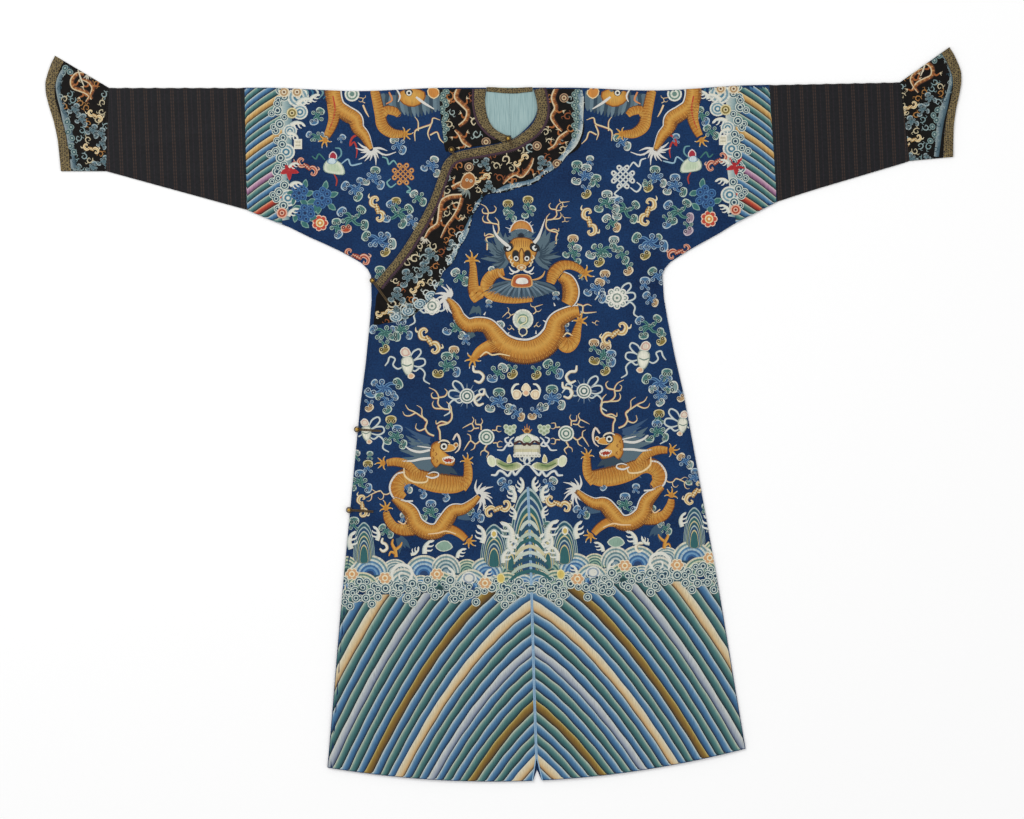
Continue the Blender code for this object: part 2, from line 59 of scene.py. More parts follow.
BODY_SIDE = (
    (0.384, 0.2980), (0.433, 0.2990), (0.474, 0.3040), (0.556, 0.3160), (0.637, 0.3305), (0.740, 0.3450),
    (0.842, 0.3590), (0.944, 0.3730), (1.046, 0.3867), (1.148, 0.3997), (1.251, 0.4123), (1.330, 0.4225),
    (1.371, 0.4276),
)
UNDERARM = (
    (0.171, 0.8220), (0.173, 0.7870), (0.203, 0.6810), (0.228, 0.6010), (0.250, 0.5425), (0.269, 0.5000),
    (0.285, 0.4600), (0.306, 0.4190), (0.322, 0.3840), (0.335, 0.3570), (0.347, 0.3355), (0.353, 0.3240),
    (0.359, 0.3155), (0.371, 0.3040), (0.384, 0.2980),
)
SLEEVE_SEAM = ((0.000, 0.5370), (0.250, 0.5425))
CUFF_SEAM = ((0.000, 0.8100), (0.171, 0.8220))
NECK_LEFT = (
    (0.000, 0.0490), (0.005, 0.0505), (0.020, 0.0545), (0.043, 0.0568), (0.058, 0.0520), (0.071, 0.0437),
    (0.083, 0.0325), (0.0945, 0.0195), (0.104, 0.0060), (0.108, SEAM / 2),
)
NECK_RIGHT = (
    (0.000, 0.0470), (0.008, 0.0476), (0.020, 0.0500), (0.031, 0.0508), (0.050, 0.0490), (0.066, 0.0450),
    (0.076, 0.0410), (0.084, 0.0335), (0.092, 0.0228), (0.098, 0.0105), (0.1015, SEAM / 2),
)
BACK_NECK = ((0.0023, 0.0), (0.0045, 0.019), (0.0070, 0.049))
CUFF_MOUTH = (
    (0.9155, -0.0655), (0.9230, -0.0520), (0.9300, -0.0340), (0.9370, -0.0120), (0.9370, 0.0120),
    (0.9310, 0.0400), (0.9240, 0.0660), (0.9190, 0.0890), (0.9150, 0.1260), (0.9130, 0.1710),
)
OVERLAP_BAND = (
    (0.0610, 0.003, 0.0095), (0.0650, 0.022, 0.0100), (0.0668, 0.043, 0.0100), (0.0622, 0.064, 0.0100),
    (0.0500, 0.084, 0.0098), (0.0270, 0.1025, 0.0094), (0.0000, 0.1172, 0.0086), (-0.0448, 0.1273, 0.0081),
    (-0.0880, 0.1352, 0.0080), (-0.1160, 0.1430, 0.0078), (-0.1325, 0.1580, 0.0076), (-0.1435, 0.1830, 0.0074),
    (-0.1625, 0.2306, 0.0072), (-0.1835, 0.2690, 0.0072), (-0.2140, 0.3180, 0.0072), (-0.2420, 0.3555, 0.0072),
    (-0.2680, 0.3840, 0.0072), (-0.2850, 0.4035, 0.0072),
)
NECK_BAND = (
    (-0.0478, 0.003, -0.0709, 0.003), (-0.0500, 0.020, -0.0722, 0.022), (-0.0508, 0.032, -0.0722, 0.038),
    (-0.0490, 0.050, -0.0690, 0.058), (-0.0450, 0.066, -0.0625, 0.074), (-0.0335, 0.084, -0.0460, 0.0935),
    (-0.0170, 0.0945, -0.0300, 0.1045), (0.0020, 0.1022, -0.0170, 0.1130),
)
PIPING = 0.0045
FACING_SECTIONS = (
    (0.066, 0.003, 0.149, 0.003), (0.0695, 0.043, 0.1495, 0.045), (0.062, 0.072, 0.146, 0.085),
    (0.050, 0.090, 0.139, 0.117), (0.034, 0.104, 0.112, 0.140), (0.008, 0.118, 0.079, 0.169),
    (-0.030, 0.126, 0.040, 0.194), (-0.075, 0.1335, -0.008, 0.209), (-0.118, 0.145, -0.056, 0.219),
    (-0.136, 0.166, -0.079, 0.248), (-0.153, 0.208, -0.098, 0.294), (-0.182, 0.265, -0.124, 0.343),
    (-0.212, 0.315, -0.152, 0.379), (-0.241, 0.355, -0.182, 0.433), (-0.268, 0.386, -0.232, 0.468),
    (-0.2890, 0.425, -0.2970, 0.481),
)
NECK_FACING = (
    (0.003, -0.0520, -0.1430), (0.031, -0.0550, -0.1430), (0.060, -0.0500, -0.1420), (0.084, -0.0380, -0.1400),
    (0.1000, -0.0240, -0.1390), (0.1110, -0.0215, -0.1380), (0.1165, -0.0480, -0.1375),
    (0.1210, -0.0780, -0.1370), (0.1265, -0.1030, -0.1360), (0.1310, -0.1190, -0.1345),
)
BACK_BAND = (
    (-0.0462, -0.0010, 0.0080), (-0.0300, -0.0006, 0.0095), (-0.0100, 0.0010, 0.0115), (0.0120, 0.0010, 0.0120),
    (0.0320, -0.0004, 0.0100), (0.0480, -0.0010, 0.0080),
)

# Creases of the upper layers, photographed plan units: start, end, half width, height in mm
CREASES = (
    (250, 205, 330, 150, 9, 1.2), (262, 214, 352, 206, 7, 1.0), (368, 262, 420, 330, 8, 1.3),
    (372, 290, 388, 420, 6, 1.0), (398, 330, 384, 560, 10, 1.2), (440, 420, 424, 700, 12, 1.0),
    (470, 560, 452, 770, 9, 0.9), (352, 560, 336, 740, 8, 1.1), (386, 600, 366, 770, 7, 0.8),
    (664, 262, 626, 330, 8, 1.3), (662, 290, 668, 430, 6, 1.1), (640, 330, 660, 560, 10, 1.2),
    (600, 430, 622, 700, 12, 1.0), (574, 580, 590, 765, 9, 0.9), (690, 470, 716, 720, 8, 1.1),
    (660, 620, 684, 755, 7, 0.8), (770, 205, 690, 150, 9, 1.2), (762, 216, 676, 214, 7, 1.0),
    (533, 205, 541, 470, 5, 0.6), (520, 300, 512, 560, 9, 0.7), (556, 330, 566, 600, 9, 0.7),
    (120, 150, 236, 128, 6, 0.8), (140, 104, 240, 98, 5, 0.6), (150, 172, 244, 176, 5, 0.6),
    (200, 96, 215, 196, 7, 0.5), (168, 92, 178, 184, 6, 0.5), (898, 150, 784, 130, 6, 0.8),
    (880, 104, 782, 98, 5, 0.6), (868, 170, 778, 180, 5, 0.6), (820, 96, 812, 190, 7, 0.5),
    (80, 100, 96, 160, 6, 0.6), (922, 94, 912, 150, 6, 0.6), (300, 120, 420, 128, 14, 0.8),
    (600, 128, 740, 118, 14, 0.8), (430, 560, 428, 620, 14, 0.6), (640, 556, 646, 640, 14, 0.6),
)

U = 0.002046
CENTRE_U, CENTRE_V = 503.44, 414.25
FOLD_V = 87.5           # the shoulder fold
TURNED_U = 1026.5       # a place's u and that of its mirror image on the shoulders, added up


def plan(u, v):
    """The plan point of a place given in plan units."""
    return (u - CENTRE_U) * U, (CENTRE_V - v) * U


def ease(value, start, end):
    part = min(1.0, max(0.0, (value - start) / (end - start)))
    return part * part * (3.0 - 2.0 * part)


def read(table, key, column=1):
    return float(np.interp(key, [row[0] for row in table], [row[column] for row in table]))


def spline(table, steps):
    """Smooth rows through the rows of a table."""
    rows = [np.array(row, float) for row in table]
    rows = [2 * rows[0] - rows[1]] + rows + [2 * rows[-1] - rows[-2]]
    result = []
    for before, start, end, after in zip(rows, rows[1:], rows[2:], rows[3:]):
        for step in range(steps):
            t = step / steps
            result.append(0.5 * (
                2 * start + (end - before) * t + (2 * before - 5 * start + 4 * end - after) * t ** 2
                + (3 * start - before - 3 * end + after) * t ** 3
            ))
    result.append(rows[-2])
    return result


def lay(across, down):
    """Where a point of the pattern lies on the floor."""
    sleeve = 1.0 - ease(down, 0.25, 0.45)
    beyond = max(0.0, abs(across) - 0.300) * sleeve
    bow = 0.0052 * (1.0 - ease(abs(across), 0.0, 0.28)) * ease(down, 0.45, 0.80) * (1.0 - ease(down, 0.85, 1.40))
    x = NECK_X + across - 0.018 * beyond + LEAN * down + bow
    narrow = 0.05 * ease(across, 0.25, 0.65) * sleeve
    lift = (0.020 * max(0.0, across - 0.245) + 0.07 * max(0.0, across - 0.810)) * sleeve
    turn = TILT * across * ease(down, 0.30, 0.75)
    sag = 0.007 * ease(abs(across), 0.12, 0.31) * ease(-abs(across), -0.50, -0.31)
    y = FOLD_Y - down * (1.0 - narrow) + lift + turn - sag * ease(-down, -0.15, 0.0)
    return x, y


def relief(across, down):
    wave = math.sin(math.tau * across / 0.31 + 2.0 * down) * math.sin(math.tau * down / 0.52)
    return 0.0009 * (0.5 + 0.5 * wave) * ease(down, 0.30, 0.50)


def hem_rise(across, down):
    part = max(0.0, (down - 0.842) / (ROBE_LENGTH - 0.842))
    return HEM_RISE * part * (across / HEM_HALF) ** 2


def outer_edge(down):
    if down <= 0.250:
        return read(SLEEVE_SEAM, down) - SEAM / 2
    if down <= 0.384:
        return read(UNDERARM, down)
    return read(BODY_SIDE, down - hem_rise(read(BODY_SIDE, down), down))


def centre_edge(down, vent=VENT_OPEN):
    return SEAM / 2 + 0.009 * max(0.0, (down - vent) / (ROBE_LENGTH - vent))


def seam_edge(down, vent=VENT_OPEN):
    """The cut edge of a half: sewn shut above the vent."""
    return max(0.0, centre_edge(down, vent) - SEAM / 2)


LINES = np.array([[*plan(a, b), *plan(c, d), width * U, high * 0.001] for a, b, c, d, width, high in CREASES])


def crease(x, y):
    """Height of the creases at a plan point: soft ridges that fade out at their ends."""
    start = LINES[:, 0:2]
    along = LINES[:, 2:4] - start
    offset = np.array((x, y)) - start
    share = (offset * along).sum(1) / (along ** 2).sum(1)
    near = np.clip(share, 0.0, 1.0)
    gap = np.linalg.norm(offset - along * near[:, None], axis=1)
    fade = np.sin(math.pi * np.clip(share, 0.02, 0.98)) ** 0.7
    return float((LINES[:, 5] * fade * np.exp(-(gap / LINES[:, 4]) ** 2)).sum())


def tone(text, strength=1.0):
    """Linear colour of a hex code."""
    parts = [int(text[i:i + 2], 16) / 255 for i in (0, 2, 4)]
    return [((c / 12.92) if c <= 0.04045 else ((c + 0.055) / 1.055) ** 2.4) * strength for c in parts] + [1.0]


class Nodes:
    """A material whose nodes are added by short calls."""

    def __init__(self, name, rough=0.5, sheen=0.0, metallic=0.0, specular=0.35):
        self.material = bpy.data.materials.new(name)
        self.material.use_nodes = True
        self.tree = self.material.node_tree
        self.shader = self.tree.nodes["Principled BSDF"]
        self.set("Roughness", rough)
        self.set("Metallic", metallic)
        self.set("Specular IOR Level", specular)
        self.set("Sheen Weight", sheen)
        self.set("Sheen Roughness", 0.45)

    def set(self, name, value):
        self.shader.inputs[name].default_value = value

    def node(self, kind, links=(), **values):
        made = self.tree.nodes.new("ShaderNode" + kind)
        for key, value in values.items():
            if hasattr(made, key) and key not in made.inputs:
                setattr(made, key, value)
            else:
                made.inputs[key.replace("_", " ")].default_value = value
        for source, target in links:
            self.tree.links.new(source, made.inputs[target])
        return made

    def math(self, kind, first, second=None, clamp=False):
        made = self.tree.nodes.new("ShaderNodeMath")
        made.operation = kind
        made.use_clamp = clamp
        for index, value in enumerate((first, second)):
            if value is None:
                continue
            if isinstance(value, (int, float)):
                made.inputs[index].default_value = value
            else:
                self.tree.links.new(value, made.inputs[index])
        return made.outputs[0]

    def mix(self, kind, factor, first, second):
        made = self.tree.nodes.new("ShaderNodeMix")
        made.data_type = "RGBA"
        made.blend_type = kind
        for index, value in ((0, factor), (6, first), (7, second)):
            if hasattr(value, "links"):
                self.tree.links.new(value, made.inputs[index])
            else:
                made.inputs[index].default_value = value
        return made.outputs[2]

    def ramp(self, value, stops, ease_kind="LINEAR"):
        made = self.tree.nodes.new("ShaderNodeValToRGB")
        made.color_ramp.interpolation = ease_kind
        while len(made.color_ramp.elements) < len(stops):
            made.color_ramp.elements.new(0.5)
        for element, (place, colour) in zip(made.color_ramp.elements, stops):
            element.position = place
            element.color = colour
        self.tree.links.new(value, made.inputs[0])
        return made.outputs[0]

    def colour(self, output):
        self.tree.links.new(output, self.shader.inputs["Base Color"])

    def bump(self, height, distance, strength=1.0):
        made = self.tree.nodes.new("ShaderNodeBump")
        made.inputs["Strength"].default_value = strength
        made.inputs["Distance"].default_value = distance
        self.tree.links.new(height, made.inputs["Height"])
        self.tree.links.new(made.outputs[0], self.shader.inputs["Normal"])


def weave(made, scale_a=1500.0, scale_b=1500.0):
    """Two thread directions, as a height between 0 and 1, from the cloth's own coordinates."""
    uv = made.node("UVMap", uv_map="Pattern")
    split = made.node("SeparateXYZ", [(uv.outputs[0], 0)])
    first = made.math("SINE", made.math("MULTIPLY", split.outputs[0], scale_a * math.tau / 1.0))
    second = made.math("SINE", made.math("MULTIPLY", split.outputs[1], scale_b * math.tau / 1.0))
    return uv, split, made.math("MULTIPLY", made.math("ADD", first, second), 0.25)


def silk(name, base, light, rough=0.42, sheen=0.25, threads=1400.0, cloudy=9.0, grain=420.0, spread=0.20, shine=0.22):
    """Plain woven silk with a soft variation of its dye."""
    made = Nodes(name, rough, sheen, 0.0, shine)
    uv, _, threads_height = weave(made, threads, threads * 0.8)
    noise = made.node("TexNoise", [(uv.outputs[0], "Vector")], Scale=cloudy, Detail=5.0, Roughness=0.6)
    fine = made.node("TexNoise", [(uv.outputs[0], "Vector")], Scale=grain, Detail=2.0)
    blend = made.math("MULTIPLY", made.math("ADD", noise.outputs[0], fine.outputs[0]), 0.5)
    made.colour(made.ramp(blend, [(0.5 - spread, base), (0.5 + spread, light)]))
    made.bump(threads_height, 0.0002, 0.5)
    return made


def make_materials():
    result = {}
    result["silk_ground"] = silk("silk_ground", tone("081d3e"), tone("163a66"), 0.5, 0.0, grain=300.0, spread=0.16,
        shine=0.10)
    made = Nodes("striped_silk", 0.5, 0.03, 0.0, 0.2)
    uv, split, height = weave(made, 1300.0, 900.0)
    place = made.math("FRACT", made.math("DIVIDE", split.outputs[0], 0.0268))
    wobble = made.node("TexNoise", [(uv.outputs[0], "Vector")], Scale=160.0, Detail=3.0)
    ground = made.ramp(wobble.outputs[0], [(0.35, tone("09090d")), (0.65, tone("111116"))])
    lines = made.ramp(place, [
        (0.0, tone("000000")), (0.36, tone("000000")), (0.41, tone("523a2a")), (0.46, tone("1c120e")),
        (0.54, tone("1c120e")), (0.59, tone("523a2a")), (0.64, tone("000000")), (0.90, tone("000000")),
        (0.95, tone("2c1c24")), (1.0, tone("000000")),
    ])
    dash = made.math("SINE", made.math("MULTIPLY", split.outputs[1], 900.0))
    dash = made.math("MULTIPLY_ADD", dash, 0.2)
    dash.node.inputs[2].default_value = 0.42
    made.colour(made.mix("ADD", dash, ground, lines))
    made.bump(height, 0.0002, 0.5)
    result["striped_silk"] = made
    made = Nodes("collar_satin", 0.5, 0.0, 0.0, 0.10)
    uv, split, height = weave(made, 1500.0, 1200.0)
    noise = made.node("TexNoise", [(uv.outputs[0], "Vector")], Scale=90.0, Detail=4.0)
    made.colour(made.ramp(noise.outputs[0], [(0.3, tone("080706")), (0.7, tone("120e0c"))]))
    made.bump(height, 0.0002, 0.4)
    result["collar_satin"] = made
    made = Nodes("brocade", 0.5, 0.05, 0.1, 0.25)
    uv = made.node("UVMap", uv_map="Pattern")
    split = made.node("SeparateXYZ", [(uv.outputs[0], 0)])
    along = made.math("SINE", made.math("MULTIPLY", split.outputs[0], math.tau / 0.0092))
    over = made.math("SINE", made.math("MULTIPLY", split.outputs[1], math.tau / 0.0080))
    diamonds = made.math("MULTIPLY", along, over)
    cells = made.node("TexVoronoi", [(uv.outputs[0], "Vector")], Scale=260.0)
    height = made.math("ADD", made.math("MULTIPLY", diamonds, 0.5), cells.outputs[0])
    made.colour(made.ramp(height, [
        (0.10, tone("2c2519")), (0.34, tone("4c4029")), (0.50, tone("74643f")), (0.72, tone("86744b")),
        (0.90, tone("393123")),
    ]))
    made.bump(height, 0.0004, 0.5)
    result["brocade"] = made
    result["piping_purple"] = silk("piping_purple", tone("2c1c22"), tone("4a3040"), 0.6, 0.2, 900.0, 60.0)
    result["piping_blue"] = silk("piping_blue", tone("6f94b4"), tone("9cb9cd"), 0.5, 0.2, 900.0, 60.0)
    made = Nodes("lining_silk", 0.5, 0.2)
    uv, split, height = weave(made, 900.0, 1200.0)
    stretch = made.node("Mapping", [(uv.outputs[0], 0)])
    stretch.inputs["Scale"].default_value = (420.0, 26.0, 1.0)
    slubs = made.node("TexNoise", [(stretch.outputs[0], "Vector")], Scale=1.0, Detail=3.0)
    made.colour(made.ramp(slubs.outputs[0], [(0.25, tone("7b989a")), (0.55, tone("93aeae")), (0.8, tone("a3bab7"))]))
    made.bump(slubs.outputs[0], 0.0003, 0.6)
    result["lining_silk"] = made
    made = Nodes("embroidery", 0.5, 0.03, 0.0, 0.25)
    tint = made.node("VertexColor", layer_name="Tint")
    uv = made.node("UVMap", uv_map="Stitch")
    stretch = made.node("Mapping", [(uv.outputs[0], 0)])
    stretch.inputs["Scale"].default_value = (1500.0, 60.0, 1.0)
    stitches = made.node("TexNoise", [(stretch.outputs[0], "Vector")], Scale=1.0, Detail=3.0, Roughness=0.6)
    shade = made.ramp(stitches.outputs[0], [(0.28, (0.46, 0.47, 0.49, 1)), (0.5, (0.80, 0.80, 0.79, 1)),
        (0.75, (1.06, 1.04, 1.0, 1))])
    made.colour(made.mix("MULTIPLY", 1.0, tint.outputs[0], shade))
    made.bump(stitches.outputs[0], 0.0004, 0.6)
    result["embroidery"] = made
    made = Nodes("gilt_brass", 0.32, 0.0, 1.0, 0.5)
    place = made.node("TexCoord")
    dents = made.node("TexNoise", [(place.outputs["Object"], "Vector")], Scale=700.0, Detail=3.0)
    made.colour(made.ramp(dents.outputs[0], [(0.3, tone("8a6a2c")), (0.7, tone("d0aa5a"))]))
    made.bump(dents.outputs[0], 0.0003, 0.6)
    result["gilt_brass"] = made
    made = Nodes("loop_cord", 0.7, 0.05, 0.0, 0.2)
    place = made.node("TexCoord")
    fibres = made.node("TexNoise", [(place.outputs["Object"], "Vector")], Scale=1400.0, Detail=3.0)
    made.colour(made.ramp(fibres.outputs[0], [(0.3, tone("2c231a")), (0.7, tone("6a5739"))]))
    made.bump(fibres.outputs[0], 0.0003, 0.5)
    result["loop_cord"] = made
    return result


MATERIALS = make_materials()

CARRIERS = {}
CUTS = {}
SHELLS = {}
STITCHED = {}


def refine(values, step):
    """Values with more put between them, so that no gap is wider than the step."""
    result = [values[0]]
    for start, end in zip(values, values[1:]):
        count = max(1, math.ceil(abs(end - start) / step - 1e-9))
        result += [start + (end - start) * (i + 1) / count for i in range(count)]
    return result


def shell(name, rows, thickness, finish, closed=False, face_up=False, flow=None, lift=1.0):
    """A cloth shell lofted through rows of (across, down, height), creased, with pattern coordinates."""
    columns = len(rows[0])
    spans = columns if closed else columns - 1
    points = []
    for row in rows:
        for across, down, height in row:
            x, y = lay(across, down)
            points.append((x, y, height + crease(x, y) * lift * min(1.0, max(0.0, height / UNDER_TOP))))
    faces = []
    for row in range(len(rows) - 1):
        for column in range(spans):
            here = row * columns + column
            beside = row * columns + (column + 1) % columns
            faces.append((here, here + columns, beside + columns, beside))
    mesh = bpy.data.meshes.new(name)
    mesh.from_pydata(points, [], faces)
    layer = mesh.uv_layers.new(name="Pattern")
    pattern = [(point[0], point[1]) for row in rows for point in row]
    places = flow or pattern
    area = sum(abs(sum(pattern[a][0] * pattern[b][1] - pattern[b][0] * pattern[a][1] for a,
        b in zip(face, face[1:] + face[:1]))) / 2 for face in faces)
    width, length = (max(place[axis] for place in places) - min(place[axis] for place in places) for axis in (0, 1))
    if area < 0.35 * width * length and not closed:
        # a strip that bends is measured along its own middle
        width = max(math.dist(row[0][:2], row[-1][:2]) for row in rows)
        length = sum(math.dist(before[len(before) // 2][:2], after[len(after) // 2][:2]) for before,
            after in zip(rows, rows[1:]))
    CUTS[name] = (width, length, area)
    for loop in mesh.loops:
        layer.data[loop.index].uv = places[loop.vertex_index]
    if face_up and mesh.polygons[0].normal.z < 0:
        mesh.flip_normals()
    mesh.shade_smooth()
    CARRIERS[name] = (points, faces)
    piece = bpy.data.objects.new(name + "_cloth", mesh)
    bpy.context.scene.collection.objects.link(piece)
    mesh.materials.append(MATERIALS[finish].material)
    wall = piece.modifiers.new("Wall", "SOLIDIFY")
    wall.thickness = thickness
    wall.offset = -1.0
    wall.use_even_offset = True
    shading = piece.modifiers.new("Shading", "WEIGHTED_NORMAL")
    shading.weight = 90
    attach(piece, "root")
    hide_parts(name)
    SHELLS[name] = piece
    return piece


def left_top(across, down):
    rise = (OVER_TOP - UNDER_TOP) * ease(outer_edge(down) - across, 0.0, 0.06)
    return UNDER_TOP + rise + relief(across, down)


def right_top(across, down):
    return UNDER_TOP + relief(-across, down)


FRONT_STEP, BACK_STEP = 0.0085, 0.024
SKIRT = (0.384, 0.433, 0.474, 0.556, 0.637, 0.740, 0.842, 0.944, 1.046, 1.148, 1.251, 1.330, VENT_OPEN, ROBE_LENGTH)
ARMPIT = (0.108, 0.180, 0.250, 0.269, 0.285, 0.306, 0.322, 0.335, 0.347, 0.353, 0.359, 0.371, 0.384)
ACROSS_SHARES = refine((0.0, 0.02, 0.5, 0.93, 1.0), 0.021)


def body_shell(name, side, neck, top):
    def row(inner, down, height):
        outer = outer_edge(down)
        points = []
        for part in ACROSS_SHARES:
            across = inner + (outer - inner) * part
            points.append((side * across, down - hem_rise(across, down), height(across, down)))
        return points[::side]

    neck_half = neck[0][1]
    rows = []
    back = refine((0.0045, 0.0070, 0.060, 0.250, 0.285, 0.322, 0.347, 0.359, 0.371,
        0.384) + SKIRT[1:-2] + (BACK_VENT_OPEN, ROBE_LENGTH), BACK_STEP)
    for down in reversed(back):
        closed = float(np.interp(down, [r[0] for r in BACK_NECK], [r[1] for r in BACK_NECK]))
        inner = max(seam_edge(down, BACK_VENT_OPEN), neck_half - closed)
        rows.append(row(inner, down, lambda across, down: 0.0))
    for turn in (-90, -60, -30, 0, 30, 60, 90):
        angle = math.radians(turn)
        fold = []
        for part in ACROSS_SHARES:
            across = neck_half + (outer_edge(0.0) - neck_half) * part
            radius = top(across, 0.0) / 2
            fold.append((side * across, radius * (1 - math.cos(angle)), radius * (1 + math.sin(angle))))
        rows.append(fold[::side])
    for down, inner in neck[1:]:
        rows.append(row(inner, down, top))
    for down in refine(ARMPIT, FRONT_STEP)[1:] + refine(SKIRT, FRONT_STEP)[1:]:
        rows.append(row(seam_edge(down), down, top))
    return shell(name, rows, CLOTH, "silk_ground")


def overlap_shell():
    band = [(row[1], -row[0]) for row in OVERLAP_BAND if row[0] <= 0.0]
    rows = []
    first = refine((0.1115, 0.1160, 0.1205, 0.1255, 0.1310, 0.1370, 0.1460, 0.1650, 0.1900, 0.2306,
                    0.2690, 0.3180, 0.3558, 0.3960, 0.4120, 0.433), FRONT_STEP)
    for down in first + refine(SKIRT[1:], FRONT_STEP)[1:]:
        inner = seam_edge(down)
        if down < OVERLAP_BAND[6][1]:
            outer = inner + 0.002 + (down - 0.1115) * 2.0
        elif down < band[-1][0]:
            outer = read(band, down)
        else:
            outer = outer_edge(down) - 0.006
        points = []
        for part in refine((0.0, 0.03, 0.5, 1.0), 0.026):
            across = -(inner + (outer - inner) * part)
            points.append((across, down - hem_rise(across, down), OVER_TOP + relief(across, down)))
        rows.append(points)
    return shell("front_overlap", rows, CLOTH, "silk_ground", face_up=True)


def tube(name, side, edge_in, edge_out, sections, top, finish, scallop=0.0):
    radius = top / 2
    rows = []
    front_shares = [i / 26 for i in range(27)]
    for section in range(sections + 1):
        part = section / sections

        def place(share):
            inner, outer = edge_in(share), edge_out(share)
            return [inner[axis] + (outer[axis] - inner[axis]) * part for axis in (0, 1)]

        def front(share):
            across, down = place(share)
            return across, down + radius * (1 - 2 * share) + scallop * (1 - share) ** 8 * abs(math.sin(section * 0.9))

        loop = [(*front(share), top) for share in reversed(front_shares)]
        for turn in (60, 30, 0, -30, -60):
            angle = math.radians(turn)
            across, down = place(0.0)
            down += scallop * abs(math.sin(section * 0.9))
            loop.append((across, down + radius * (1 - math.cos(angle)), radius * (1 + math.sin(angle))))
        loop += [(*front(share / 6), 0.0) for share in range(7)]
        for turn in (-60, -30, 0, 30, 60):
            angle = math.radians(turn)
            across, down = place(1.0)
            loop.append((across, down - radius * (1 - math.cos(angle)), radius * (1 + math.sin(angle))))
        rows.append([(side * across, down, height) for across, down, height in loop])
    return shell(name, rows[::side], CLOTH, finish, closed=True)


def between(table, gap):
    (upper, start), (lower, end) = table
    return lambda share: (start + (end - start) * share + gap, upper + (lower - upper) * share)


def mouth_point(share):
    place = share * (len(CUFF_MOUTH) - 1)
    index = min(int(place), len(CUFF_MOUTH) - 2)
    rest = place - index
    return [a + (b - a) * rest for a, b in zip(CUFF_MOUTH[index], CUFF_MOUTH[index + 1])]


CUFF_BAND = 0.020


def cuff_line(inset):
    seam = between(CUFF_SEAM, SEAM / 2)

    def point(share):
        start, end = seam(share), mouth_point(share)
        length = math.dist(start, end)
        return [b + (a - b) * inset / length for a, b in zip(start, end)]

    return point


def ribbon(name, sections, thickness, finish, top, parts=3):
    rows, flow, length = [], [], 0.0
    before = None
    for inner_across, inner_down, outer_across, outer_down in sections:
        middle = ((inner_across + outer_across) / 2, (inner_down + outer_down) / 2)
        length += math.dist(before, middle) if before else 0.0
        before = middle
        wide = math.dist((inner_across, inner_down), (outer_across, outer_down))
        row = []
        for step in range(parts + 1):
            share = step / parts
            across = inner_across + (outer_across - inner_across) * share
            down = inner_down + (outer_down - inner_down) * share
            row.append((across, down, top + relief(across, down)))
            flow.append((length, wide * share))
        rows.append(row)
    return shell(name, rows, thickness, finish, face_up=True, flow=flow)


def band_sections(near, far, steps=6):
    line = spline(OVERLAP_BAND, steps)
    sections = []
    for index, (across, down, half) in enumerate(line):
        before, after = line[max(0, index - 1)], line[min(len(line) - 1, index + 1)]
        length = math.dist(before[:2], after[:2])
        normal = ((after[1] - before[1]) / length, -(after[0] - before[0]) / length)
        inner, outer = half * near[0] + near[1], half * far[0] + far[1]
        sections.append((across + normal[0] * inner, down + normal[1] * inner,
                         across + normal[0] * outer, down + normal[1] * outer))
    return sections


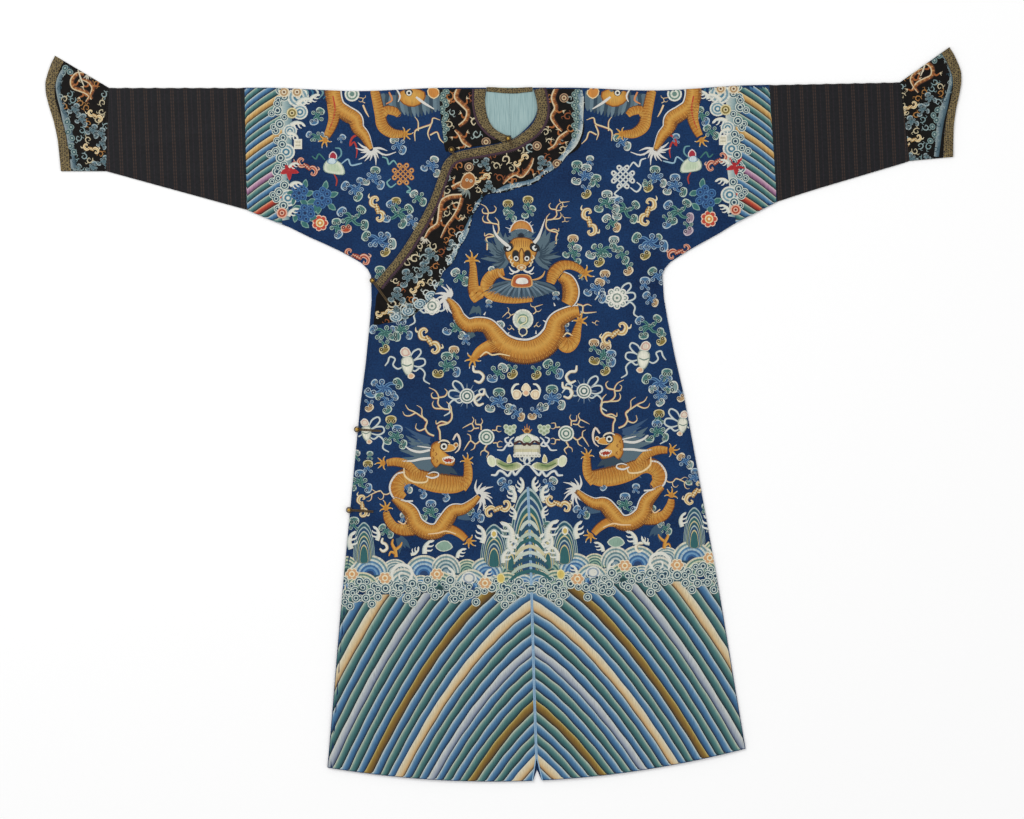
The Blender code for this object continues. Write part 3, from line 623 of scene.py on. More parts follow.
def make_shells():
    body_shell("body_left", 1, NECK_LEFT, left_top)
    body_shell("body_right", -1, NECK_RIGHT, right_top)
    overlap_shell()
    for name, side in (("left", 1), ("right", -1)):
        tube("sleeve_" + name, side, between(SLEEVE_SEAM, SEAM / 2), between(CUFF_SEAM, -SEAM / 2), 32,
             UNDER_TOP, "striped_silk", 0.0012)
        tube("cuff_" + name, side, between(CUFF_SEAM, SEAM / 2), cuff_line(CUFF_BAND + SEAM + 0.0005), 10, UNDER_TOP,
            "collar_satin")
        tube("cuff_band_" + name, side, cuff_line(CUFF_BAND), cuff_line(0.0), 2, UNDER_TOP + 0.0006, "brocade")
    for name, side, neck in (("left", 1, NECK_LEFT), ("right", -1, NECK_RIGHT)):
        rows = []
        for down, edge in spline(neck[:-1], 3):
            outer = max(edge - 2 * SEAM, SEAM / 2 + 2 * SEAM)
            rows.append([(side * (SEAM / 2 + (outer - SEAM / 2) * part), down, LINING_TOP) for part in (0.0, 0.25,
                0.5, 0.75, 1.0)])
        shell("lining_" + name, rows, THIN_CLOTH, "lining_silk", face_up=True, lift=0.0)
    rows = []
    for down, inner, outer in spline(NECK_FACING, 3):
        rows.append([(inner + (outer - inner) * part / 8, down, FACING_UNDER_TOP) for part in range(9)])
    shell("facing_neck_right", rows, THIN_CLOTH, "collar_satin", face_up=True)
    rows = []
    sections = spline(FACING_SECTIONS, 6)
    for index, (inner_across, inner_down, outer_across, outer_down) in enumerate(sections):
        wave = 0.004 * abs(math.sin(math.pi * index / 8)) if index < len(sections) - 1 else 0.0
        length = math.dist((inner_across, inner_down), (outer_across, outer_down))
        row = []
        for step in range(11):
            part = step / 10 * (1.0 + wave / length)
            across = inner_across + (outer_across - inner_across) * part
            down = inner_down + (outer_down - inner_down) * part
            row.append((across, down, FACING_OVER_TOP + relief(across, down)))
        rows.append(row)
    shell("facing_overlap", rows, THIN_CLOTH, "collar_satin", face_up=True)
    ribbon("overlap_band", band_sections((-1, 0), (1, 0)), CLOTH, "brocade", BAND_OVER_TOP)
    ribbon("overlap_piping", band_sections((1, SEAM), (1, SEAM + PIPING)), THIN_CLOTH, "piping_purple",
        BAND_OVER_TOP - SEAM)
    right = spline(NECK_BAND, 6)
    ribbon("neck_band_right", right, CLOTH, "brocade", BAND_UNDER_TOP)
    piping = []
    for inner_across, inner_down, outer_across, outer_down in right:
        length = math.dist((inner_across, inner_down), (outer_across, outer_down))
        step = ((outer_across - inner_across) / length, (outer_down - inner_down) / length)
        near = (outer_across + step[0] * SEAM, outer_down + step[1] * SEAM)
        piping.append((*near, near[0] + step[0] * PIPING, near[1] + step[1] * PIPING))
    ribbon("neck_piping_right", piping[:-6], THIN_CLOTH, "piping_purple", BAND_UNDER_TOP - SEAM)
    back = [(across, upper, across, lower) for across, upper, lower in spline(BACK_BAND, 4)]
    ribbon("neck_band_back", back, CLOTH, "brocade", LINING_TOP + SEAM + CLOTH)
    for name, side in (("left", 1), ("right", -1)):
        sections = []
        for down in refine([VENT_TOP] + [row for row in SKIRT if row > VENT_TOP], 0.012):
            edge = centre_edge(down)
            sections.append((side * edge, down, side * (edge + 0.0025), down))
        ribbon("vent_piping_" + name, sections, THIN_CLOTH, "piping_blue", OVER_TOP + SEAM + THIN_CLOTH, 2)


make_shells()


class Needlework:
    """Stitched shapes drawn in plan units and then laid on the cloth below them."""

    def __init__(self, name, *carriers):
        self.name, self.carriers = name, carriers
        self.points, self.faces, self.tints, self.grain, self.anchors = [], [], [], [], []

    def add(self, points, faces, tints, grain, anchor=None):
        first = len(self.points)
        self.points += points
        self.faces += [tuple(first + index for index in face) for face in faces]
        self.tints += tints
        self.grain += grain
        middle = anchor or tuple(np.mean([point[:2] for point in points], axis=0))
        self.anchors += [middle] * len(points)

    def finish(self):
        """One mesh of all the shapes, each point a little above the cloth under it."""
        points, faces = [], []
        for name in self.carriers:
            first = len(points)
            cloth_points, cloth_faces = CARRIERS[name]
            points += cloth_points
            faces += [tuple(first + index for index in face) for face in cloth_faces]
        tree = BVHTree.FromPolygons(points, faces)
        down = Vector((0.0, 0.0, -1.0))

        def drop(u, v):
            x, y = plan(u, v)
            hit = tree.ray_cast(Vector((x, y, 0.05)), down)[0]
            return None if hit is None else (x, y, hit.z)

        places, lost = [], set()
        for index, (u, v, height) in enumerate(self.points):
            found = drop(u, v)
            if found is None:
                anchor = self.anchors[index]
                near, far = 0.0, 1.0
                for _ in range(9):
                    middle = (near + far) / 2
                    trial = drop(anchor[0] + (u - anchor[0]) * middle, anchor[1] + (v - anchor[1]) * middle)
                    if trial is None:
                        far = middle
                    else:
                        near, found = middle, trial
            if found is None:
                lost.add(index)
                found = (0.0, 0.0, 0.0)
            places.append((found[0], found[1], found[2] + height * 0.001))
        kept = []
        for face in self.faces:
            if lost.intersection(face):
                continue
            corners = [places[index] for index in face]
            turn = sum(a[0] * b[1] - b[0] * a[1] for a, b in zip(corners, corners[1:] + corners[:1]))
            kept.append(face if turn > 0 else face[::-1])
        mesh = bpy.data.meshes.new(self.name)
        mesh.from_pydata(places, [], kept)
        tint = mesh.color_attributes.new(name="Tint", type="FLOAT_COLOR", domain="POINT")
        tint.data.foreach_set("color", np.array(self.tints, np.float32).ravel())
        layer = mesh.uv_layers.new(name="Stitch")
        vertices = np.zeros(len(mesh.loops), np.int32)
        mesh.loops.foreach_get("vertex_index", vertices)
        layer.data.foreach_set("uv", np.array(self.grain, np.float32)[vertices].ravel())
        mesh.materials.append(MATERIALS["embroidery"].material)
        mesh.shade_smooth()
        piece = bpy.data.objects.new(self.name, mesh)
        bpy.context.scene.collection.objects.link(piece)
        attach(piece, "root")
        STITCHED[self.name] = piece
        return piece


def spot(u, v, turn=0.0, size=1.0, flip=1):
    """Moves rows drawn about a zero point to a place, turned and sized; widths are sized too."""
    cosine, sine = math.cos(math.radians(turn)), math.sin(math.radians(turn))

    def place(*rows):
        result = []
        for row in rows:
            x, y = row[0] * flip * size, row[1] * size
            result.append((u + x * cosine - y * sine, v + x * sine + y * cosine, *(part * size for part in row[2:])))
        return result

    return place


def stroke(work, path, profile, level=0, steps=3, crown=0.3, anchor=None):
    """A ribbon of stitches along rows of (u, v, width). The profile is a tone, or rows of (share, height, tone)."""
    if isinstance(profile, str):
        profile = [(-1.0, 0.0, profile), (0.0, crown, profile), (1.0, 0.0, profile)]
    line = spline(path, steps)
    base = 0.14 + 0.1 * level
    points, tints, grain, length = [], [], [], 0.0
    for index, (u, v, width) in enumerate(line):
        before, after = line[max(0, index - 1)], line[min(len(line) - 1, index + 1)]
        along = np.array(after[:2]) - np.array(before[:2])
        size = float(np.linalg.norm(along)) or 1.0
        normal = (-along[1] / size, along[0] / size)
        if index:
            length += float(np.linalg.norm(line[index][:2] - line[index - 1][:2]))
        for share, height, colour in profile:
            half = max(0.05, width) / 2 * share
            points.append((float(u + normal[0] * half), float(v + normal[1] * half),
                base + height * min(1.0, width / 2.5)))
            tints.append(tone(colour))
            grain.append((length * U, half * U))
    faces, columns = [], len(profile)
    for row in range(len(line) - 1):
        for column in range(columns - 1):
            if profile[column][0] == profile[column + 1][0]:
                continue
            here = row * columns + column
            faces.append((here, here + columns, here + columns + 1, here + 1))
    work.add(points, faces, tints, grain, anchor)


def disc(work, u, v, rings, level=0, squash=1.0, turn=0.0, sides=12, rise=0.08, arch=False):
    """Rings of stitches: rows of (radius, tone) from the outside in; an arch has their upper half alone."""
    points, faces, tints, grain = [], [], [], []
    base = 0.14 + 0.1 * level
    cosine, sine = math.cos(math.radians(turn)), math.sin(math.radians(turn))
    spans = sides - 1 if arch else sides

    def circle(radius, height, colour):
        first = len(points)
        for side in range(sides):
            angle = math.pi * (1 + side / (sides - 1)) if arch else math.tau * side / sides
            x, y = radius * math.cos(angle), radius * squash * math.sin(angle)
            points.append((u + x * cosine - y * sine, v + x * sine + y * cosine, height))
            tints.append(tone(colour))
            grain.append((side / sides * 0.03, radius * U))
        return first

    for index, (radius, colour) in enumerate(rings):
        height = base + rise * (index + 1)
        outer = circle(radius, height - rise, colour)
        if index + 1 < len(rings):
            inner = circle(rings[index + 1][0], height, colour)
            for side in range(spans):
                beside = (side + 1) % sides
                faces.append((outer + side, outer + beside, inner + beside, inner + side))
        else:
            points.append((u, v, height + 0.05))
            tints.append(tone(colour))
            grain.append((0.0, 0.0))
            for side in range(spans):
                faces.append((outer + side, outer + (side + 1) % sides, len(points) - 1))
    work.add(points, faces, tints, grain, (u, v))


def patch(work, outline, colour, level=0, steps=2, crown=0.35, middle=None, rim=None, heart=None):
    """A filled shape with a smooth outline, raised toward its middle; a rim tone edges it."""
    closed = list(outline) + [outline[0]]
    rows = [np.array(row[:2], float) for row in closed]
    rows = [rows[-2]] + rows + [rows[1]]
    line = []
    for before, start, end, after in zip(rows, rows[1:], rows[2:], rows[3:]):
        for step in range(steps):
            t = step / steps
            line.append(0.5 * (2 * start + (end - before) * t + (2 * before - 5 * start + 4 * end - after) * t ** 2
                               + (3 * start - before - 3 * end + after) * t ** 3))
    centre = np.array(middle) if middle else np.mean(line, axis=0)
    base = 0.14 + 0.1 * level
    size = float(np.mean([np.linalg.norm(point - centre) for point in line]))
    edge = max(0.3, 1.0 - 1.1 / size)
    shares = [(1.0, 0.0, rim or colour), (edge, crown * 0.6, rim or colour), (edge, crown * 0.6, colour),
              (0.45, crown, heart or colour)]
    points, tints, grain, faces, count = [], [], [], [], len(line)
    for share, height, colour_here in shares:
        for point in line:
            here = centre + (point - centre) * share
            points.append((float(here[0]), float(here[1]), base + height))
            tints.append(tone(colour_here))
            grain.append((float(here[0]) * U, float(here[1]) * U))
    points.append((float(centre[0]), float(centre[1]), base + crown))
    tints.append(tone(heart or colour))
    grain.append((float(centre[0]) * U, float(centre[1]) * U))
    for ring in (0, 2):
        for index in range(count):
            here, beside = ring * count + index, ring * count + (index + 1) % count
            faces.append((here, beside, beside + count, here + count))
    for index in range(count):
        faces.append((3 * count + index, 3 * count + (index + 1) % count, 4 * count))
    work.add(points, faces, tints, grain, (float(centre[0]), float(centre[1])))


# rim, fill and eye of a cloud head
HEADS = {
    "w": ("dfe1d6", "7f9a9a", "2c4c56"), "g": ("c3d3c6", "437270", "12383e"), "b": ("b9ccd6", "3f6e98", "102c54"),
    "o": ("ddd0a0", "857436", "40361a"), "p": ("e8dcc0", "b9966a", "6f4c2c"), "r": ("e6b59c", "b2482a", "6e2016"),
    "v": ("d0c2ca", "9c8494", "56485a"), "q": ("9fb0b2", "4f6f7c", "16262e"),
}
STEMS = {"g": ("1f5456", "5f9488"), "b": ("1f4a80", "6290b8"), "q": ("2c4a56", "6f8c94")}
CLOUDS = {
    "tri": ((0, -9, 1.0), (-9, 6, 0.85), (9, 7, 0.95), (-7, -3, 0.5), (6, -2, 0.5), (0, 3, 0.45)),
    "bar": ((-13, -4, 0.95), (-4, 5, 0.5), (2, -6, 0.55), (13, 4, 1.0), (9, -5, 0.6), (-9, 5, 0.5), (4, 5, 0.5)),
    "quad": ((-10, -7, 0.9), (9, -9, 0.85), (-6, 9, 0.9), (12, 6, 0.9), (0, -1, 0.5), (5, -3, 0.45), (-9, 2, 0.45)),
    "pair": ((-5, -5, 0.95), (6, 5, 0.95), (5, -5, 0.5), (-5, 4, 0.5)),
    "solo": ((0, -2, 1.05), (-4, 6, 0.45), (4, 7, 0.4)),
}


def cloud_head(work, u, v, turn, size, kind, level):
    rim, fill, eye = HEADS[kind]
    at = spot(u, v, turn, size)
    outline = at((-6.2, 0.6), (-5.8, -3.2), (-3.4, -5.0), (0, -5.6), (3.4, -5.0), (5.8, -3.2), (6.2, 0.6), (4.0, 3.0),
        (1.4, 2.6),
                 (0, 1.6), (-1.4, 2.6), (-4.0, 3.0))
    patch(work, outline, fill, level, rim=rim, middle=at((0, -1))[0], steps=2)
    stroke(work, at((-3.6, -0.6, 0.8), (-3.0, -2.5, 0.9), (0, -3.5, 0.9), (3.0, -2.5, 0.9), (3.6, -0.6, 0.8)), rim,
        level + 2, 2, 0.15)
    for side in (-1, 1):
        u_curl, v_curl = at((side * 2.9, 0.8))[0]
        disc(work, u_curl, v_curl, [(2.75 * size, rim), (2.15 * size, eye), (0.7 * size, rim)], level + 3, sides=9)


def cloud(work, u, v, turn, flip, kind, stem, kinds, size=1.0, level=0):
    """Ruyi heads and small curls on a branching stem."""
    dark, light = STEMS[stem]
    at = spot(u, v, turn, size, flip)
    profile = [(-1, 0, light), (-0.55, 0.15, light), (-0.55, 0.15, dark), (0.3, 0.3, dark), (0.3, 0.3, light),
        (1, 0, light)]
    for x, y, part in CLOUDS[kind]:
        bend = (0.5 * x - 0.18 * y, 0.5 * y + 0.18 * x)
        stroke(work, at((0, 0, 3.4), (*bend, 3.0), (x * 0.92, y * 0.92, 2.2)), profile, level, 3)
    names = iter(kinds * 3)
    for x, y, part in CLOUDS[kind]:
        head_u, head_v = at((x, y))[0]
        if part > 0.58:
            away = math.degrees(math.atan2(head_v - v, head_u - u)) + 90
            tidy = away if kind != "solo" else turn
            cloud_head(work, head_u, head_v, tidy * 0.8, part * size * 0.98, next(names), level + 1)
        else:
            rim, fill, eye = HEADS[stem]
            disc(work, head_u, head_v, [(5.2 * part * size, rim), (4.0 * part * size, fill), (2.6 * part * size, eye),
                (1.1 * part * size, rim)],
                 level + 1, sides=10)


def bat(work, u, v, turn, flip, kind, size=1.0):
    """A bat with folded wings and a curled tail."""
    rim, fill, eye = HEADS[kind]
    if kind in "op":
        rim, fill, eye = "ecdfba", "d3ac68", "94682c"
    at = spot(u, v, turn, size, flip)
    wing = [(-1.0, 0.0, eye), (-0.72, 0.2, eye), (-0.72, 0.2, rim), (-0.1, 0.4, rim), (-0.1, 0.4, fill),
        (0.55, 0.3, fill), (0.55, 0.3, rim), (1.0, 0.0, rim)]
    stroke(work, at((-1, -2.5, 3.6), (-4.8, -6.5, 5.0), (-3.0, -11.8, 4.4), (1.6, -12.6, 3.2), (3.2, -9.4, 2.4),
        (0.6, -8.2, 1.2)), wing, 2, 4)
    stroke(work, at((1, 2.5, 3.6), (5.0, 5.6, 5.0), (4.4, 11.2, 4.4), (-0.4, 12.8, 3.2), (-2.4, 9.6, 2.4),
        (0.2, 8.4, 1.2)), wing, 2, 4)
    stroke(work, at((-3.6, -11.4, 2.0), (-6.0, -14.4, 1.6), (-4.4, -17.6, 0.5)), rim, 1, 3)
    stroke(work, at((4.6, 10.4, 2.0), (8.4, 12.0, 1.6), (9.2, 8.6, 0.5)), rim, 1, 3)
    stroke(work, at((0, -5.6, 2.6), (0.4, 0, 5.4), (0.2, 5.2, 2.8)),
        [(-1.0, 0.0, eye), (-0.7, 0.2, fill), (0.0, 0.5, rim), (0.7, 0.2, fill), (1.0, 0.0, eye)], 4, 4)
    for low in (-1.6, 1.2, 4.0):
        stroke(work, at((-2.0, low + 0.8, 0.7), (0, low, 0.9), (2.2, low + 0.8, 0.7)), eye, 8, 2)
    for x, y in ((-1.2, -3.8), (1.4, -3.6)):
        u_eye, v_eye = at((x, y))[0]
        disc(work, u_eye, v_eye, [(0.9 * size, eye)], 9, sides=6)


FLAME_EDGE, FLAME_MID = "b0663e", "e6d5a8"


def flame(work, path, level=1, tones=(FLAME_EDGE, FLAME_MID), hooks=()):
    """A thin tongue of flame with a coral edge; hooks branch from it as rows of their own."""
    edge, middle = tones
    path = [(row[0], row[1], row[2] * 0.84) for row in path]
    hooks = [[(row[0], row[1], row[2] * 0.84) for row in hook] for hook in hooks]
    profile = [(-1, 0, edge), (-0.45, 0.2, edge), (-0.45, 0.2, middle), (0.8, 0.25, middle), (1, 0, middle)]
    stroke(work, path, profile, level, 4)
    for hook in hooks:
        stroke(work, hook, profile, level, 4)


def flames(work, u, v, turn, size, flip, kind="tall", tones=(FLAME_EDGE, FLAME_MID)):
    """Branching flames, drawn upward from a root."""
    at = spot(u, v, turn, size, flip)
    if kind == "tall":
        trunk = at((0, 0, 2.6), (-1, -9, 2.6), (-3, -15, 2.7), (7, -19, 2.8), (11, -25, 2.6), (9, -33, 2.4),
            (1, -34, 2.4), (-5, -39, 2.3),
                   (-5, -47, 2.1), (-9, -53, 1.7), (-16, -56, 0.8))
        hooks = [at((7, -19, 2.4), (0, -20, 2.2), (-5, -17, 1.8), (-6, -21, 0.8)),
                 at((10, -30, 2.4), (9, -37, 2.0), (4, -42, 0.8)),
                 at((1, -34, 2.4), (-8, -34, 2.2), (-11, -38, 1.5), (-10, -42, 0.7)),
                 at((-5, -46, 2.4), (2, -48, 2.2), (4, -53, 1.6), (1, -56, 0.7)),
                 at((-5, -45, 2.2), (-11, -45, 2.0), (-13, -49, 1.2), (-11, -51, 0.7))]
    elif kind == "bush":
        trunk = at((0, 0, 2.6), (-6, -3, 2.6), (-9, -9, 2.5), (-7, -16, 2.4), (-13, -21, 2.3), (-20, -26, 2.1),
            (-26, -29, 1.6), (-29, -34, 0.8))
        hooks = [at((-9, -8, 2.2), (-15, -6, 2.0), (-19, -9, 1.4), (-18, -14, 0.7)),
                 at((-8, -16, 2.2), (-12, -22, 1.8), (-12, -29, 1.3), (-17, -33, 0.7)),
                 at((-18, -25, 2.2), (-25, -22, 2.0), (-30, -23, 1.4), (-32, -27, 0.7))]
    elif kind == "short":
        trunk = at((0, 0, 2.4), (4, -5, 2.3), (1, -11, 2.2), (7, -15, 1.9), (13, -18, 0.8))
        hooks = [at((3, -5, 2.0), (9, -6, 1.7), (12, -10, 0.7)), at((1, -11, 2.0), (-5, -12, 1.7), (-7, -16, 0.7))]
    else:
        trunk = at((0, 0, 2.4), (3, -5, 2.3), (-1, -9, 2.0), (2, -14, 0.8))
        hooks = [at((2, -5, 1.9), (7, -7, 1.4), (8, -11, 0.7))]
    flame(work, trunk, 1, tones, hooks)


def ribbon_tail(work, path, colour="d6dcd6", edge="8fa6b0", level=1, width=1.8):
    rows = [(u, v, width * (0.6 if index in (0, len(path) - 1) else 1.0)) for index, (u, v) in enumerate(path)]
    profile = [(-1, 0, edge), (-0.5, 0.2, edge), (-0.5, 0.2, colour), (1, 0.1, colour)]
    stroke(work, rows, profile, level, 4)


def fan(work, u, v, first, last, count, inner, outer, colour, level=1, width=2.0, bend=0.25):
    """Tapering locks that spread from a point, such as tail fins or a mane."""
    for index in range(count):
        angle = math.radians(first + (last - first) * index / max(1, count - 1))
        reach = outer * (0.82 + 0.18 * math.sin(index * 2.3 + 1.0))
        side = angle + bend
        stroke(work, [(u + inner * math.cos(angle), v + inner * math.sin(angle), width),
                      (u + reach * 0.55 * math.cos(angle), v + reach * 0.55 * math.sin(angle), width * 0.9),
                      (u + reach * math.cos(side), v + reach * math.sin(side), 0.4)], colour, level, 3)


GOLD, GOLD_DARK, GOLD_LIGHT, SPINE, MANE, MANE_DARK = "c58530", "7a4516", "d9a44c", "e3e1da", "586f7c", "2f4657"
BODY_PROFILE = [
    (-1.0, 0.0, "4a2a12"), (-0.93, 0.1, "4a2a12"), (-0.93, 0.1, GOLD_DARK), (-0.82, 0.35, "b06c22"),
    (-0.35, 0.8, GOLD), (0.1, 0.9, GOLD_LIGHT), (0.55, 0.7, GOLD), (0.78, 0.45, "c68128"), (0.78, 0.45, "6b3a14"),
    (0.84, 0.5, "6b3a14"), (0.84, 0.5, SPINE), (1.0, 0.2, SPINE),
]
LIMB_PROFILE = [(-1.0, 0.0, "6b3a14"), (-0.8, 0.2, "6b3a14"), (-0.8, 0.2, "bf7726"), (0.0, 0.6, GOLD),
    (0.6, 0.45, GOLD_LIGHT), (1.0, 0.0, "c9832a")]


def dragon_body(work, path, level=2, spine=True, scales=True):
    """A scaled body along rows of (u, v, half width); its spine is on the left of the way it runs."""
    rows = [(u, v, half * 2) for u, v, half in path]
    profile = BODY_PROFILE if spine else LIMB_PROFILE
    stroke(work, rows, profile, level, 6)
    if not scales:
        return
    line = spline(rows, 10)
    walked, count = 0.0, 0
    for index in range(1, len(line)):
        before, here = line[index - 1], line[index]
        walked += math.dist(before[:2], here[:2])
        if walked < 1.05:
            continue
        walked = 0.0
        along = (here[:2] - before[:2]) / max(1e-6, math.dist(before[:2], here[:2]))
        side = np.array((-along[1], along[0]))
        half = here[2] / 2
        if half < 1.6:
            continue
        count += 1
        top, low = (0.74, -0.90) if spine else (0.86, -0.86)
        points = []
        for share in (low, -0.3, 0.25, top):
            bulge = 1.3 * (1 - share * share) + 0.5 * math.sin(count * 2.4 + share * 7.0)
            place = here[:2] + side * half * share + along * bulge
            points.append((float(place[0]), float(place[1]), 0.42))
        stroke(work, points, "ad7028" if count % 2 else "d9a44e", level + 8, 2, 0.05)
        if spine:
            root, tip = here[:2] - side * half * 0.60 + along * 0.6, here[:2] - side * half * 1.04 + along * 1.8
            stroke(work, [(float(root[0]), float(root[1]), 0.7), (float(tip[0]), float(tip[1]), 0.5)], "87501c",
                level + 9, 1, 0.05)


def claw(work, u, v, turn, size=1.0, count=5, level=4):
    """A paw with spread talons."""
    at = spot(u, v, turn, size)
    patch(work, at((-3.0, 0), (-2, -2.8), (1.5, -3.2), (3.6, 0), (1.5, 3.2), (-2, 2.8)), GOLD, level, steps=2)
    for index in range(count):
        angle = math.radians(-105 + 210 * index / (count - 1))
        x, y = math.cos(angle), math.sin(angle)
        stroke(work, at((2.0 * x, 2.0 * y, 2.0), (6.0 * x + 0.6, 6.0 * y, 1.5),
            (9.2 * x + 0.2, 9.2 * y + 1.6 * (1 if y < 0 else -1), 0.5)), GOLD_LIGHT, level, 3)
        tip = at((8.2 * x + 0.3, 8.2 * y + 1.0 * (1 if y < 0 else -1), 1.1),
            (10.2 * x, 10.2 * y + 1.8 * (1 if y < 0 else -1), 0.4))
        stroke(work, tip, SPINE, level + 1, 2)


def mirror(u, v):
    """The matching place on the other half: the skirt's halves turn a little against each other."""
    axis = 515.0 + 0.0335 * (v - 100.0)
    away = u - axis
    tilt = 0.045 * ease((v - FOLD_V) * U, 0.30, 0.75)
    return axis - away, v + 2.0 * tilt * away


def mirrored(rows):
    return [(*mirror(row[0], row[1]), *row[2:]) for row in rows]


def both(path):
    return path, mirrored(path)


def main_dragon(work):
    # locks of the mane behind the head, and the beard under it
    fan(work, 510, 252, 118, 245, 11, 4, 30, MANE, 1, 7.0, 0.20)
    fan(work, 534, 250, 62, -62, 11, 4, 28, MANE, 1, 7.0, -0.20)
    fan(work, 508, 256, 128, 225, 8, 4, 24, MANE_DARK, 2, 3.0, 0.22)
    fan(work, 536, 254, 48, -48, 8, 4, 23, MANE_DARK, 2, 3.0, -0.22)
    # body from the neck's left loop under the beard to the right shoulder
    dragon_body(work, [(532, 299, 3), (515, 300, 3.5), (500, 298, 4.5), (490, 293, 6.2), (487, 284, 6.5),
        (493, 275, 5.8), (504, 272, 4)][::-1], 2, False)
    patch(work, [(486, 290), (494, 284), (506, 281), (522, 280), (538, 281), (550, 284), (557, 290), (549, 293),
        (538, 297), (522, 299), (506, 297), (495, 293)],
          "4a6170", 5, heart="40566a")
    for index in range(25):
        spread = (index - 12) / 12
        curve = 1 - spread * spread
        path = [(521.5 + spread * 12, 283, 2.2), (521.5 + spread * 25, 287 + 2.5 * curve, 2.4),
            (521.5 + spread * 37, 291.5 + 6.5 * curve, 0.5)]
        stroke(work, path, ("2c4152", "5d7484", "405a6b", "748a98")[index % 4], 9 + index % 2, 3)


    dragon_body(work, [(561, 276, 5.5), (568, 281, 7.2), (571, 290, 8.6), (570, 298, 8.4), (567, 304, 6.5)][::-1], 4,
        True)
    dragon_body(work, [(579, 311, 6.0), (570, 313, 7.4), (557, 321, 9.5), (553, 334, 11.5), (544, 345, 12.5),
        (530, 351, 12.8), (515, 350, 12.5), (503, 344, 11.5), (495, 334, 9.5),
                       (488, 326, 8), (478, 324, 7.5), (468, 325, 7.2), (460, 318, 6.3), (456, 309, 5),
                       (452, 303, 3.5), (448, 299, 2)], 3, True)
    # legs and paws
    dragon_body(work, [(480, 299, 7), (474, 291, 6), (473, 280, 4.8), (473, 268, 3.6), (472, 262, 3)], 4, False)
    dragon_body(work, [(482, 289, 3.5), (476, 293, 7), (479, 300, 6)], 4, False, False)
    claw(work, 472, 260, -92, 1.0)
    dragon_body(work, [(550, 283, 4.5), (554, 273, 6.5), (561, 266, 5.5), (570, 265, 4.5), (578, 268, 3.8),
        (583, 272, 3)], 5, False)
    claw(work, 585, 273, 30, 1.0, level=6)
    dragon_body(work, [(502, 344, 8), (490, 347, 7), (480, 352, 5.5), (474, 358, 3.5)], 6, False, False)
    claw(work, 473, 359, 120, 1.0, level=7)
    stroke(work, [(480, 357, 1.2), (486, 352, 1.5), (492, 355, 1.5), (500, 354, 1.4), (510, 356, 0.8)], "f2d9a8", 12)
    dragon_body(work, [(560, 340, 6), (567, 345, 8), (574, 340, 6), (577, 330, 4.2), (579, 323, 3)], 2, False)
    claw(work, 580, 321, -75, 1.0, level=4)
    stroke(work, [(563, 337, 1.2), (567, 333, 1.6), (573, 336, 1.2)], "f2d9a8", 8)
    fan(work, 449, 299, 95, 300, 11, 2, 17, SPINE, 3, 2.6, -0.35)
    fan(work, 478, 332, 150, 190, 4, 4, 18, "47616d", 1, 4.0, 0.1)
    fan(work, 476, 305, 60, 120, 4, 2, 12, "47616d", 1, 4.5, 0.1)
    for u, v, turn in ((484, 315, -70), (497, 322, -30), (507, 335, -60), (522, 337, -80), (536, 334, -100),
        (546, 322, -160), (555, 306, -120)):
        at = spot(u, v, turn)
        stroke(work, at((0, 0, 1.8), (3.5, 0.6, 0.5)), SPINE, 6, 2)
    # head seen from the front: hair, crown, face, brows, eyes, whiskers and mouth
    fan(work, 521, 240, 188, 352, 17, 4, 17, MANE, 4, 4.6, 0.0)
    fan(work, 521, 240, 195, 345, 12, 4, 13, MANE_DARK, 5, 2.0, 0.1)
    fan(work, 521, 233, 200, 340, 11, 10, 17, SPINE, 5, 1.2, 0.0)
    patch(work, [(509, 233), (511, 226), (515.5, 221.5), (521, 220), (527, 221.5), (531.5, 226), (533.5, 233),
        (528, 230), (521, 229), (514, 230)], "bd742e", 7,
          rim=SPINE, middle=(521, 226), heart="cf9148")
    disc(work, 521, 236, [(3.4, "1d2a3c"), (2.0, "121a28")], 8, 0.9)
    patch(work, [(509, 244), (513, 238.5), (521, 237), (530, 238.5), (535, 244), (537, 252), (534, 259), (529, 265),
        (523, 269), (518, 269), (512, 265), (507, 259), (505, 252)],
          GOLD, 8, rim="70401a", heart=GOLD_LIGHT, steps=3)
    for index in range(9):
        stroke(work, [(512 + index * 2.3, 240.5, 0.6), (513 + index * 2.1, 247, 0.5)], "9a5f22", 12, 2)
    for side, horn in ((-1, ((508, 246, 3.4), (503, 242, 3.2), (497, 236, 2.4), (494, 230, 1.6), (493, 225, 0.6))),
                       (1, ((534, 243, 3.4), (538, 238, 3.2), (541, 231, 2.2), (543, 225, 1.4), (545, 219, 0.6)))):
        middle = 521.5
        disc(work, middle + side * 13.0, 247.5, [(5.6, "14171c"), (4.6, "1b2028")], 11, 0.75, side * 30)
        stroke(work, horn, SPINE, 12, 4)
        stroke(work, [(middle + side * 15, 248.5, 0.8), (middle + side * 13.5, 250, 1.8),
            (middle + side * 11.5, 247.5, 2.0), (middle + side * 13.5, 245.4, 1.2)], "e3e5e2", 14, 4)
        disc(work, middle + side * 5.4, 256, [(4.1, "6b4420"), (3.5, "191d22")], 12, 1.55, side * 12, sides=14)
        disc(work, middle + side * 5.4, 258.6, [(2.5, "e6e7e2"), (1.35, "0d1116")], 14, 1.05)
        stroke(work, [(middle + side * 2.2, 263, 0.8), (middle + side * 2.6, 256, 1.2),
            (middle + side * 1.2, 250, 1.2), (middle, 248, 0.8)], "7a4a20", 13, 3)
        for low, reach in ((257, 11), (261, 9.5), (264, 8)):
            stroke(work, [(middle + side * reach, low - 2, 0.8), (middle + side * (reach + 1.6), low + 1, 1.4),
                (middle + side * (reach - 1), low + 3, 0.8)], "ead6ac", 14, 3)
        stroke(work, [(middle + side * 2, 270, 1.8), (middle + side * 6, 272.2, 2.0),
            (middle + side * 10, 270.5, 1.7), (middle + side * 12.5, 266.5, 0.5)], "ebe9e0", 15, 3)
